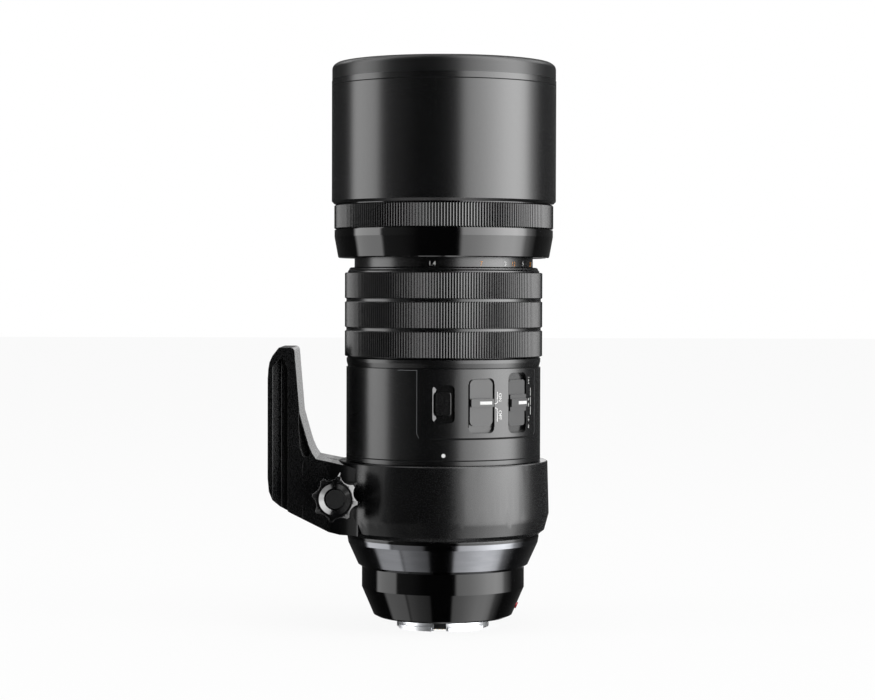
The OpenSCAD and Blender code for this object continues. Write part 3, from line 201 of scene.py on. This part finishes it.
def painted(name, colour):
    shade = tuple(0.9 * c for c in colour)
    return finish(name, (shade, colour), (0.38, 0.46), grain=6000, depth=0.008, strength=0.1, patch=900)


white_paint = painted("mark_paint", (0.86, 0.86, 0.85))
orange_paint = painted("mark_orange", (0.72, 0.27, 0.03))
red_paint = painted("mark_red", (0.42, 0.012, 0.02))
# Light grey for painted highlights along the switch panel's edges
edge_highlight_paint = painted("painted_edge_highlight", (0.13, 0.135, 0.14))
looks["mark_paint"] = white_paint


def glass_look():
    material, tree, bsdf = shader("coated_glass")
    coords = tree.nodes.new("ShaderNodeTexCoord").outputs["Object"]
    haze = noise(tree, coords, 220)
    tree.links.new(ranged(tree, haze, 0.002, 0.012), bsdf.inputs["Roughness"])
    tree.links.new(blend_colours(tree, ranged(tree, haze, 0, 1), (0.86, 0.95, 0.9), (0.9, 0.97, 0.93)),
                   bsdf.inputs["Base Color"])
    bsdf.inputs["Transmission Weight"].default_value = 1.0
    bsdf.inputs["IOR"].default_value = 1.5
    bsdf.inputs["Specular Tint"].default_value = (0.45, 0.85, 0.62, 1)
    bsdf.inputs["Coat Weight"].default_value = 0.25
    bsdf.inputs["Coat Tint"].default_value = (0.8, 0.7, 0.95, 1)
    return material


looks["glass"] = glass_look()


def painted_collar_shade(material):
    """Painted shade: the collar shines less between its leg and its front, standing in for the knob and leg
    that keep the light off it there. Stops of x in metres and specular level.
    """
    tree = material.node_tree
    axes = tree.nodes.new("ShaderNodeSeparateXYZ")
    tree.links.new(tree.nodes["Texture Coordinate"].outputs["Object"], axes.inputs[0])
    shine = read_off(tree, axes.outputs["X"], -0.08, 0.0, (
        (-0.047, 0.5), (-0.0455, 0.06), (-0.0351, 0.05), (-0.0341, 0.5), (-0.0325, 0.36), (-0.0295, 0.1),
        (-0.015, 0.2), (-0.004, 0.5)))
    tree.links.new(shine, tree.nodes["Principled BSDF"].inputs["Specular IOR Level"])


# Painted shade on the collar beside the leg, put into its shine
painted_collar_shade(looks["collar_black"])

slots = {
    "anodised_black": ["main_barrel", "switch_panel", "grip_stop_ring", "front_barrel", "inner_chassis",
                       "hood_shell", "scale_ring", "clutch_sleeve"],
    "gloss_black": ["hood_base_ring", "rear_barrel"],
    "bright_grey": ["rear_ring"],
    "soft_black": ["hood_front_ring", "mount_seal"],
    "flock_black": ["hood_lining", "collar_glide"],
    "switch_black": ["knob_cap", "contact_block", "rear_baffle"],
    "cell_black": ["front_retaining_ring", "iris_base", "is_base", "rear_cell", "focus_cell",
                   "is_pitch_frame", "is_yaw_frame", "iris_ring"],
    "blade_black": ["iris_blade_%d" % i for i in range(1, 10)],
    "glass": ["front_element", "second_element", "front_doublet", "rear_elements", "focus_element",
              "is_elements"],
    "steel": ["mount_screws", "foot_screws", "clamp_screw", "guide_rods", "lead_screw", "focus_motor"],
    "bayonet_chrome": ["mount_plate"],
    "brass": ["contact_pins", "thread_bush"],
    "circuit_green": ["circuit_boards"],
    "mark_paint": ["index_dots"],
}


def set_look(piece, *materials):
    piece.data.materials.clear()
    for material in materials:
        piece.data.materials.append(material)


for slot, names in slots.items():
    for name in names:
        set_look(nodes[name], looks[slot])
set_look(nodes["rear_barrel"], looks["rear_gloss"])

# The red dot on the rear barrel and the black spacer under the front glass share a node with other pieces
for polygon in nodes["index_dots"].data.polygons:
    polygon.material_index = 1 if polygon.center.z < low("tripod_collar") else 0
nodes["index_dots"].data.materials.append(red_paint)
spacer_h, spacer_wall = 3.93, 1.6
spacer_top = low("front_element") + spacer_h * MM
spacer_bore = radius("front_element") - spacer_wall * MM
nodes["front_element"].data.materials.append(looks["cell_black"])
for polygon in nodes["front_element"].data.polygons:
    outside = polygon.center.xy.length > spacer_bore
    polygon.material_index = 1 if outside and polygon.center.z < spacer_top else 0


# Pieces

def add_piece(name, mesh, body, material, replaces=()):
    piece = bpy.data.objects.new(name, mesh)
    bpy.context.scene.collection.objects.link(piece)
    set_look(piece, material)
    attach(piece, body)
    if replaces:
        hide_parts(*replaces)
    return piece


def smooth(mesh, angle=35):
    for polygon in mesh.polygons:
        polygon.use_smooth = True
    mesh.set_sharp_from_angle(angle=math.radians(angle))


def made_mesh(bm, name):
    mesh = bpy.data.meshes.new(name)
    bm.to_mesh(mesh)
    bm.free()
    return mesh


def stitch(bm, first, second):
    """Faces between two closed rows of as many vertices each."""
    for k in range(len(first)):
        n = (k + 1) % len(first)
        bm.faces.new((first[k], first[n], second[n], second[k]))


# Below MERGED millimetres or FLAT degrees a CAD edge counts as none, above SHARP degrees it is rounded
MERGED, FLAT, SHARP, ROUNDING_STEPS = 0.002, 0.4, 28, 3
RING_STEPS = 180


def softened(node, body, slot, width, look=None):
    """Stands for a CAD node with its sharp edges broken by a narrow round."""
    bm = bmesh.new()
    bm.from_mesh(nodes[node].data)
    bmesh.ops.remove_doubles(bm, verts=bm.verts, dist=MERGED * MM)
    bmesh.ops.dissolve_limit(bm, angle_limit=math.radians(FLAT), verts=bm.verts, edges=bm.edges)
    sharp = [e for e in bm.edges if e.is_manifold and e.calc_face_angle() > math.radians(SHARP)]
    bmesh.ops.bevel(bm, geom=sharp, offset=width * MM, segments=ROUNDING_STEPS, profile=0.5,
                    affect="EDGES", clamp_overlap=True)
    mesh = made_mesh(bm, node + "_soft")
    smooth(mesh)
    piece = add_piece(node + "_dressed", mesh, body, looks[look or slot], [node])
    weigh = piece.modifiers.new("flat_faces", "WEIGHTED_NORMAL")
    weigh.weight = 100
    weigh.keep_sharp = True


def lathe(name, rows, count, profile, body, slot, look=None, replaces=()):
    """A ring of ribs. Each row is height, radius of the crests and depth of the valleys, in millimetres. The
    profile runs over one rib: share of the pitch from the crest, share of the depth."""
    bm = bmesh.new()
    circles = []
    for z, r, depth in rows:
        circle = []
        for k in range(count):
            for share, drop in profile:
                a = 2 * math.pi * (k + share) / count
                reach = (r - depth * drop) * MM
                circle.append(bm.verts.new((reach * math.sin(a), -reach * math.cos(a), z * MM)))
        circles.append(circle)
    for first, second in zip(circles, circles[1:] + circles[:1]):
        stitch(bm, first, second)
    bmesh.ops.recalc_face_normals(bm, faces=bm.faces)
    mesh = made_mesh(bm, name)
    smooth(mesh, 40)
    add_piece(name, mesh, body, looks[look or slot], replaces)


def rib(half_width, slope, gap, depth, pitch):
    """One rib: two flanks that slope away from a narrow crest, then a steep groove.

    Given in shares of pitch and depth."""
    crest_share, crest_slope = 0.12, 0.2
    crest = crest_share * half_width
    drop = crest_slope * crest
    side = [(crest, drop), (half_width, drop + (half_width - crest) * math.tan(math.radians(slope))),
            (half_width + gap, depth)]
    side = [(x / pitch, d / depth) for x, d in side]
    return [(-x, d) for x, d in side[::-1]] + [(0.0, 0.0)] + side + [(0.5, 1.0)]


def ring(name, rows, body, slot, look):
    """A plain ring of revolution; each row is height and radius in millimetres."""
    lathe(name, [(z, r, 0) for z, r in rows], RING_STEPS, [(0, 0)], body, slot, look)


def wrapped(bm, name, body, material, base_r):
    """Rolls a flat mesh round the axis: x runs along the round, y up, z is the height over base_r."""
    for v in bm.verts:
        a = v.co.x / base_r
        r = (base_r + v.co.z) * MM
        v.co = Vector((r * math.sin(a), -r * math.cos(a), v.co.y * MM))
    add_piece(name, made_mesh(bm, name), body, material)


# Where a painted line starts below its surface, in millimetres
SUNK = -0.02


def bar(bm, start, end, width, proud, pitch=0.6):
    """A flat line from start to end, cut into short lengths so that it rolls well."""
    start, end = Vector(start), Vector(end)
    along = end - start
    side = Vector((-along.y, along.x)).normalized() * width / 2
    count = max(1, math.ceil(along.length / pitch))
    rows = []
    for k in range(count + 1):
        p = start + along * k / count
        rows.append([bm.verts.new((*(p + s * side), h))
                     for s, h in ((-1, SUNK), (1, SUNK), (1, proud), (-1, proud))])
    for first, second in zip(rows, rows[1:]):
        stitch(bm, first, second)
    bm.faces.new(rows[0][::-1])
    bm.faces.new(rows[-1])


def lettering(bm, text, x, y, height, proud, turn=0.0, width=1.0):
    """Adds text with its middle at x, y; turned clockwise by turn degrees."""
    curve = bpy.data.curves.new("letters", "FONT")
    curve.body = text
    curve.align_x = "CENTER"
    curve.resolution_u = 3
    curve.extrude = 0.5
    holder = bpy.data.objects.new("letters", curve)
    bpy.context.scene.collection.objects.link(holder)
    bpy.context.view_layer.update()
    mesh = bpy.data.meshes.new_from_object(holder.evaluated_get(bpy.context.evaluated_depsgraph_get()))
    bpy.data.objects.remove(holder)
    bpy.data.curves.remove(curve)
    xs = [v.co.x for v in mesh.vertices]
    ys = [v.co.y for v in mesh.vertices]
    scale = height / (max(ys) - min(ys))
    mid = Vector(((max(xs) + min(xs)) / 2, (max(ys) + min(ys)) / 2))
    c, s = math.cos(math.radians(turn)), math.sin(math.radians(turn))
    for v in mesh.vertices:
        px = (v.co.x - mid.x) * scale * width
        py = (v.co.y - mid.y) * scale
        v.co = Vector((x + px * c + py * s, y - px * s + py * c, 2 * proud * v.co.z))
    bm.from_mesh(mesh)
    bpy.data.meshes.remove(mesh)


def arc_length(base_r, azimuth):
    return base_r * math.radians(azimuth)


# Knurled lock ring and ribbed focus grip

lock_low, lock_top = low("hood_lock_ring") / MM, top("hood_lock_ring") / MM
lock_r = radius("hood_lock_ring") / MM
count, depth = 238, 0.6
chamfer, shoulder, foot, inset = 0.5, 0.3, 0.62, 1.1
lathe("lock_ring_ribs", [
    (lock_low, lock_r - inset, 0), (lock_low, lock_r - foot, 0),
    (lock_low + chamfer / 2, lock_r - shoulder, depth / 2), (lock_low + chamfer, lock_r, depth),
    (lock_top - chamfer, lock_r, depth), (lock_top - chamfer / 2, lock_r - shoulder, depth / 2),
    (lock_top, lock_r - foot, 0), (lock_top, lock_r - inset, 0)],
    count, rib(0.38, 29, 0.05, depth, 2 * math.pi * lock_r / count), "hood_lock", "ribbed_black",
    replaces=["hood_lock_ring"])

grip_low, grip_top = low("focus_grip") / MM, top("focus_grip") / MM
grip_r = radius("focus_grip") / MM
groove = 1.2
band = (grip_top - grip_low - 2 * groove) / 3
count, depth = 226, 0.52
chamfer, shoulder, foot, inset = 0.32, 0.3, 0.6, 1.7
edge, groove_edge = 0.1, 0.12
rows = [(grip_low, grip_r - inset, 0), (grip_low, grip_r - foot, 0)]
for i in range(3):
    z = grip_low + i * (band + groove)
    rows += [(z + edge, grip_r - shoulder, depth / 2), (z + chamfer, grip_r, depth),
             (z + band - chamfer, grip_r, depth), (z + band - edge, grip_r - shoulder, depth / 2)]
    if i < 2:
        rows += [(z + band + groove_edge, grip_r - foot, 0),
                 (z + band + groove - groove_edge, grip_r - foot, 0)]
rows += [(grip_top, grip_r - foot, 0), (grip_top, grip_r - inset, 0)]
lathe("focus_grip_ribs", rows, count, rib(0.34, 31, 0.05, depth, 2 * math.pi * grip_r / count), "focus_ring",
      "ribbed_black", replaces=["focus_grip"])

# Pieces whose edges catch the light

softened("collar_foot", "collar", "collar_black", 0.45)
softened("tripod_collar", "collar", "collar_black", 0.22)
softened("clamp_knob", "knob", "knob_black", 0.3)
softened("fn_button", "fn_key", "switch_black", 0.3, "button_black")
softened("is_switch", "is_slider", "switch_black", 0.14)
softened("limiter_switch", "limiter_slider", "switch_black", 0.14)

# Distance scale

scale_r = radius("scale_ring") / MM
number_z, number_h, letter_proud = 145.3, 1.75, 0.03
for name, paint, marks in (
        ("scale_numbers", white_paint, ((-7, "1.4"), (42, "3"), (60.6, "5"), (80, "10"), (100, "20"))),
        ("scale_numbers_feet", orange_paint, ((24, "7"), (50, "12"), (74, "20"), (89, "40")))):
    bm = bmesh.new()
    for azimuth, text in marks:
        lettering(bm, text, arc_length(scale_r, azimuth), number_z, number_h, letter_proud)
    wrapped(bm, name, "focus_scale", paint, scale_r)

# Lines, letters and bars of the switch panel

panel_r = 40.1
panel_low, panel_top = low("switch_panel") / MM, top("switch_panel") / MM


def on_panel(azimuth):
    return arc_length(panel_r, azimuth)


# Painted highlights: light grey lines where the panel's side edges, its lower corners and the barrel's edge
# beside it catch the light
bm = bmesh.new()
border_w, border_proud = 0.16, 0.025
left, right = on_panel(-15.4), on_panel(67.1)
for start, end in (((left - 8.2, panel_top - 0.45), (left, panel_top - 0.45)),
                   ((left, panel_top - 0.45), (left, panel_low + 1.9)),
                   ((left, panel_low + 1.9), (left + 0.9, panel_low + 0.2)),
                   ((right, panel_top - 0.5), (right, panel_low + 1.3)),
                   ((right, panel_low + 1.3), (right - 0.7, panel_low + 0.5))):
    bar(bm, start, end, border_w, border_proud)
wrapped(bm, "panel_edge_highlights", "root", edge_highlight_paint, panel_r)

bm = bmesh.new()
seam_w, seam_proud, foot_z = 0.75, 0.012, panel_low - 0.1
bar(bm, (on_panel(-8), foot_z), (on_panel(66), foot_z), seam_w, seam_proud)
slot_mid, slot_reach = (panel_low + panel_top) / 2 - 0.75, 8.6
for azimuth, shift, width in ((14.52, -0.15, 0.3), (30.28, 0.09, 0.18)):
    x = on_panel(azimuth) + shift
    bar(bm, (x, slot_mid - slot_reach), (x, slot_mid + slot_reach), width, seam_proud)
wrapped(bm, "panel_seam", "root", looks["seam_black"], panel_r)

bm = bmesh.new()
is_x = on_panel(32.4)
for start, end in (((is_x, 94.2), (is_x, 89.8)), ((is_x, 89.8), (is_x - 1.1, 89.3)),
                   ((is_x - 1.1, 87.8), (is_x, 87.3)), ((is_x, 87.3), (is_x, 82.2))):
    bar(bm, start, end, 0.28, letter_proud)
for text, z in (("ON", 91.95), ("OFF", 84.8)):
    lettering(bm, text, is_x + 1.35, z, 1.55, letter_proud, 90)
lim_x = on_panel(59.2)
for text, z in (("1.4-4", 98.2), ("4-", 90.5), ("1.4-", 82.6)):
    lettering(bm, text, lim_x, z, 1.05, letter_proud, 90)
for z in (88.4, 79.6):
    lettering(bm, "8", lim_x, z, 1.5, letter_proud, 0, 0.7)
for z0, z1 in ((95.2, 92.0), (91.4, 88.2), (87.6, 84.4)):
    bar(bm, (lim_x + 1.6, z0), (lim_x + 1.6, z1), 0.3, letter_proud)
wrapped(bm, "panel_letters", "root", white_paint, panel_r)

# Slope at the left side of the button's recess: heights from the middle and how far it reaches in there

bm = bmesh.new()
button_z = (low("fn_button") + top("fn_button")) / 2 / MM
wall_x, face, fall = -4.42, 40.0, 0.85
half = ((7.0, 0.35), (6.6, 0.8), (5.8, 1.45), (4.9, 1.2), (4.1, 0.5), (3.4, 0.28))
rows = []
for z, reach in half + tuple((-z, reach) for z, reach in half[::-1]):
    rows.append([bm.verts.new((wall_x + dx, button_z + z, h - panel_r))
                 for dx, h in ((0, face), (reach, face - fall * reach), (0, face - fall * reach))])
for first, second in zip(rows, rows[1:]):
    stitch(bm, first, second)
bm.faces.new(rows[0][::-1])
bm.faces.new(rows[-1])
bmesh.ops.recalc_face_normals(bm, faces=bm.faces)
wrapped(bm, "recess_slope", "root", looks["anodised_black"], panel_r)

# Rings: grooved black band at the top of the bright ring, partly the ring's own dark band and partly painted
# shade under the collar; seams over the collar and in the hood's mouth, rounded lip over the grip

ring_r, band_top = radius("rear_ring") / MM, low("tripod_collar") / MM - 0.3
# Painted shade: the black band also covers the top of the bright ring where the collar shades it
ring("rear_ring_band_and_shade", [(band_top - drop, ring_r + rise) for drop, rise in (
    (0.02, -0.1), (0.02, 0.08), (0.38, 0.08), (0.42, 0.01), (0.56, 0.01), (0.6, 0.08), (1.02, 0.08),
    (1.06, 0.01), (1.06, -0.1))], "root", "gloss_black", "rear_gloss")
barrel_r, collar_top = 40.06, top("tripod_collar") / MM
ring("collar_seam", [(collar_top + rise, barrel_r + reach) for rise, reach in (
    (0.05, -0.1), (0.05, 0.02), (0.5, 0.02), (0.5, -0.1))], "root", "gloss_black", "seam_black")
hood_r, seam_z = radius("hood_shell") / MM, low("hood_front_ring") / MM
ring("hood_seam", [(seam_z - 0.2, hood_r - 0.1), (seam_z - 0.2, hood_r + 0.01), (seam_z + 0.2, hood_r + 0.01),
                   (seam_z + 0.2, hood_r - 0.1)], "hood", "anodised_black", "seam_black")
lip_top = top("clutch_sleeve") / MM
ring("lip_round", [(lip_top + drop, r) for drop, r in (
    (-1.5, 38.9), (-1.5, 39.44), (-1.22, 39.1), (-1.05, 39.02), (-0.75, 38.95), (-0.45, 38.84),
    (-0.22, 38.66), (-0.05, 38.38), (0, 38.15), (-0.02, 37.6))],
    "focus_ring", "anodised_black", "anodised_black")


ridge_r = 41.0


def ridge_bar(name, slider, azimuth, z, start, end, height):
    """The white line on a slider's ridge: flat, square to the ridge."""
    bm = bmesh.new()
    a = math.radians(azimuth)
    out, along = Vector((math.sin(a), -math.cos(a), 0)), Vector((math.cos(a), math.sin(a), 0))
    corners = []
    for depth in (-0.05, 0.04):
        for s, h in ((start, -height / 2), (end, -height / 2), (end, height / 2), (start, height / 2)):
            flat = ((ridge_r + depth) * out + s * along) * MM
            corners.append(bm.verts.new(flat + Vector((0, 0, (z + h) * MM))))
    stitch(bm, corners[:4], corners[4:])
    bm.faces.new(corners[3::-1])
    bm.faces.new(corners[4:])
    bmesh.ops.recalc_face_normals(bm, faces=bm.faces)
    bmesh.ops.bevel(bm, geom=bm.edges[:], offset=0.03 * MM, segments=1, affect="EDGES")
    add_piece(name, made_mesh(bm, name), slider, white_paint)


is_mid = (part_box("is_switch")[0].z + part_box("is_switch")[1].z) / 2 / MM
lim_mid = (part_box("limiter_switch")[0].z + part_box("limiter_switch")[1].z) / 2 / MM
ridge_bar("is_switch_line", "is_slider", 22.4, is_mid, -1.2, 4.0, 1.28)
ridge_bar("limiter_switch_line", "limiter_slider", 48.3, lim_mid, -0.6, 4.4, 1.3)

# Thread for a filter, seen from above

bm = bmesh.new()
turns, steps, pitch, fade_steps = 5.6, 96, 0.75, 24
thread_r, thread_low, thread_depth, buried = 38.1, 217.3, 0.34, 0.02
last = int(turns * steps)
rows = []
for k in range(last + 1):
    a = 2 * math.pi * k / steps
    z = thread_low + pitch * k / steps
    crest = thread_r - thread_depth * min(1.0, k / fade_steps, (last - k) / fade_steps)
    rows.append([bm.verts.new(((r * MM) * math.cos(a), (r * MM) * math.sin(a), (z + dz) * MM))
                 for r, dz in ((thread_r + buried, -0.3), (crest, -0.05), (crest, 0.05),
                               (thread_r + buried, 0.3))])
for first, second in zip(rows, rows[1:]):
    stitch(bm, first, second)
bm.faces.new(rows[0])
bm.faces.new(rows[-1][::-1])
bmesh.ops.recalc_face_normals(bm, faces=bm.faces)
add_piece("filter_thread", made_mesh(bm, "filter_thread"), "root", looks["anodised_black"])

# Camera at the photograph's height, distance and slight turn

camera_place, camera_dip, camera_roll = (-0.00246, -0.9645, 0.1341), 1.436, 0.14
camera_data = bpy.data.cameras.new("camera")
camera_data.lens = 96.03
camera_data.sensor_width = 36
camera_data.clip_start = 0.01
camera_data.clip_end = 50
camera = bpy.data.objects.new("camera", camera_data)
bpy.context.scene.collection.objects.link(camera)
bpy.context.scene.camera = camera
camera.matrix_world = (Matrix.Translation(camera_place)
                       @ Matrix.Rotation(math.radians(90 - camera_dip), 4, "X")
                       @ Matrix.Rotation(math.radians(camera_roll), 4, "Z"))

# Pale floor that keeps the shadow

scene = bpy.context.scene
scene.view_settings.view_transform = "Standard"

floor_mesh = bpy.data.meshes.new("floor")
floor_z, floor_reach, floor_glow = cad_box[0].z - 0.02 * MM, 6, 0.9
floor_mesh.from_pydata([(x * floor_reach, y * floor_reach, floor_z)
                        for x, y in ((-1, -1), (1, -1), (1, 1), (-1, 1))], [], [(0, 1, 2, 3)])
floor = bpy.data.objects.new("floor", floor_mesh)
scene.collection.objects.link(floor)
floor.visible_glossy = False
material, tree, bsdf = shader("floor")
bsdf.inputs["Base Color"].default_value = (0.86, 0.86, 0.86, 1)
bsdf.inputs["Roughness"].default_value = 0.9
bsdf.inputs["Specular IOR Level"].default_value = 0.0
path = tree.nodes.new("ShaderNodeLightPath")
glow = tree.nodes.new("ShaderNodeEmission")
mix = tree.nodes.new("ShaderNodeMixShader")
tree.links.new(maths(tree, "MULTIPLY", path.outputs["Is Camera Ray"], floor_glow), mix.inputs["Fac"])
tree.links.new(bsdf.outputs["BSDF"], mix.inputs[1])
tree.links.new(glow.outputs["Emission"], mix.inputs[2])
tree.links.new(mix.outputs["Shader"], tree.nodes["Material Output"].inputs["Surface"])
floor_mesh.materials.append(material)

# World: white where it is seen or mirrored, plain grey light otherwise

WORLD_LIGHT = 0.62
world = bpy.data.worlds.new("studio")
scene.world = world
world.use_nodes = True
tree = world.node_tree
tree.nodes.clear()
path = tree.nodes.new("ShaderNodeLightPath")
seen = tree.nodes.new("ShaderNodeBackground")
light = tree.nodes.new("ShaderNodeBackground")
light.inputs["Color"].default_value = (1, 1, 1, 1)
light.inputs["Strength"].default_value = WORLD_LIGHT
seen.inputs["Color"].default_value = (1, 1, 1, 1)
mix = tree.nodes.new("ShaderNodeMixShader")
output = tree.nodes.new("ShaderNodeOutputWorld")
either = maths(tree, "MAXIMUM", path.outputs["Is Camera Ray"], path.outputs["Is Glossy Ray"])
tree.links.new(maths(tree, "MAXIMUM", either, path.outputs["Is Transmission Ray"]), mix.inputs["Fac"])
tree.links.new(light.outputs["Background"], mix.inputs[1])
tree.links.new(seen.outputs["Background"], mix.inputs[2])
tree.links.new(mix.outputs["Shader"], output.inputs["Surface"])

# Soft lamps for plain colour

AIM = Vector((0, 0, 0.11))


def lamp(name, azimuth, distance, height, size, power):
    """A soft box in metres and watts, turned towards the lens and not mirrored in it."""
    data = bpy.data.lights.new(name, "AREA")
    data.shape = "RECTANGLE"
    data.size, data.size_y = size
    data.energy = power
    piece = bpy.data.objects.new(name, data)
    scene.collection.objects.link(piece)
    a = math.radians(azimuth)
    place = Vector((distance * math.sin(a), -distance * math.cos(a), height))
    piece.location = place
    piece.rotation_mode = "QUATERNION"
    piece.rotation_quaternion = (place - AIM).to_track_quat("Z", "Y")
    piece.visible_camera = False
    piece.visible_glossy = False


lamp("lamp_left", -72, 1.3, 0.5, (0.5, 1.2), 5.5)
lamp("lamp_right", 68, 1.3, 0.5, (0.8, 1.2), 6.5)
lamp("lamp_top", 20, 0.35, 1.35, (0.9, 0.9), 4.5)

# Soft boxes and dark cards, as the surfaces mirror them: one round wall with light and dark sectors

surround_mesh = bpy.data.meshes.new("surround")
count, wall_r, wall_low, wall_high = 96, 1.6, -3.4, 9.0
points = [(wall_r * math.sin(2 * math.pi * k / count), -wall_r * math.cos(2 * math.pi * k / count), z)
          for z in (wall_low, wall_high) for k in range(count)]
surround_mesh.from_pydata(points, [], [(k, (k + 1) % count, count + (k + 1) % count, count + k)
                                       for k in range(count)] + [tuple(range(count))])
surround = bpy.data.objects.new("surround", surround_mesh)
scene.collection.objects.link(surround)
surround.visible_camera = False
surround.visible_diffuse = False
surround.visible_shadow = False
surround.visible_transmission = False
surround.visible_volume_scatter = False
material = bpy.data.materials.new("surround")
material.use_nodes = True
material.cycles.emission_sampling = "NONE"
tree = material.node_tree
tree.nodes.clear()
coords = tree.nodes.new("ShaderNodeTexCoord")
axes = tree.nodes.new("ShaderNodeSeparateXYZ")
tree.links.new(coords.outputs["Object"], axes.inputs[0])


FULL = 12


def profile(value, low_value, high_value, stops):
    """A brightness of the wall up to FULL, from stops of value and brightness."""
    return maths(tree, "MULTIPLY", read_off(tree, value, low_value, high_value, stops, FULL), FULL)


# Brightness by azimuth in degrees and by height in metres: the boxes round about, what the foot of the wall
# adds on the left, and a card behind and above
back = maths(tree, "MULTIPLY", axes.outputs["Y"], -1)
azimuth = maths(tree, "MULTIPLY", maths(tree, "ARCTAN2", axes.outputs["X"], back), 180 / math.pi)
around = profile(azimuth, -180, 180, [
    (-180, 1.6), (-177.5, 0.4), (-171, 0.06), (-108, 0.05), (-103, 4.6), (-70, 4.8), (-67, 0.3), (-45, 0.2),
    (-26, 0.02), (12, 0.0), (16, 0.1), (20, 4.7), (37, 6.2), (50, 8.0), (65, 10.2), (80, 10.2), (90, 7.6),
    (97, 2.4), (105, 0.9), (113, 0.1), (171, 0.1), (174, 1.6), (180, 1.6)])
fall = profile(axes.outputs["Z"], wall_low, wall_high, [
    (-3.4, 0.3), (-2.3, 0.36), (-1.35, 0.34), (-1.1, 0.3), (-0.85, 0.36), (-0.6, 0.6), (-0.5, 0.74),
    (-0.2, 0.62), (-0.09, 0.7), (0.055, 0.83), (0.2, 1.0), (1.0, 1.0), (3.0, 0.75), (9.0, 0.6)])
below = profile(azimuth, -180, 180, [
    (-180, 0), (-68, 0), (-64, 1.0), (-46, 0.62), (-26, 0.4), (-22, 0), (180, 0)])
under = profile(axes.outputs["Z"], wall_low, wall_high, [
    (-3.4, 1.0), (-1.7, 1.0), (-1.35, 0.15), (-0.9, 0.15), (-0.76, 1.0), (-0.6, 1.0), (-0.54, 0.0),
    (9.0, 0.0)])
over = profile(azimuth, -180, 180, [
    (-180, 0.05), (-155, 0.2), (-146, 0.9), (-138, 3.0), (-131, 3.8), (-125, 2.6), (-120, 0.5), (-114, 0.15),
    (-105, 0), (95, 0), (100, 1.4), (110, 2.6), (120, 3.5), (127, 3.8), (133, 2.3), (140, 0.7), (150, 0.2),
    (180, 0.05)])
high = profile(axes.outputs["Z"], wall_low, wall_high, [(-3.4, 0), (0.75, 0), (0.95, 1.0), (9.0, 1.0)])
strength = maths(tree, "ADD", maths(tree, "MULTIPLY", around, fall), maths(tree, "MULTIPLY", below, under))
strength = maths(tree, "ADD", strength, maths(tree, "MULTIPLY", over, high))
glow = tree.nodes.new("ShaderNodeEmission")
tree.links.new(strength, glow.inputs["Strength"])
output = tree.nodes.new("ShaderNodeOutputMaterial")
tree.links.new(glow.outputs["Emission"], output.inputs["Surface"])
surround_mesh.materials.append(material)
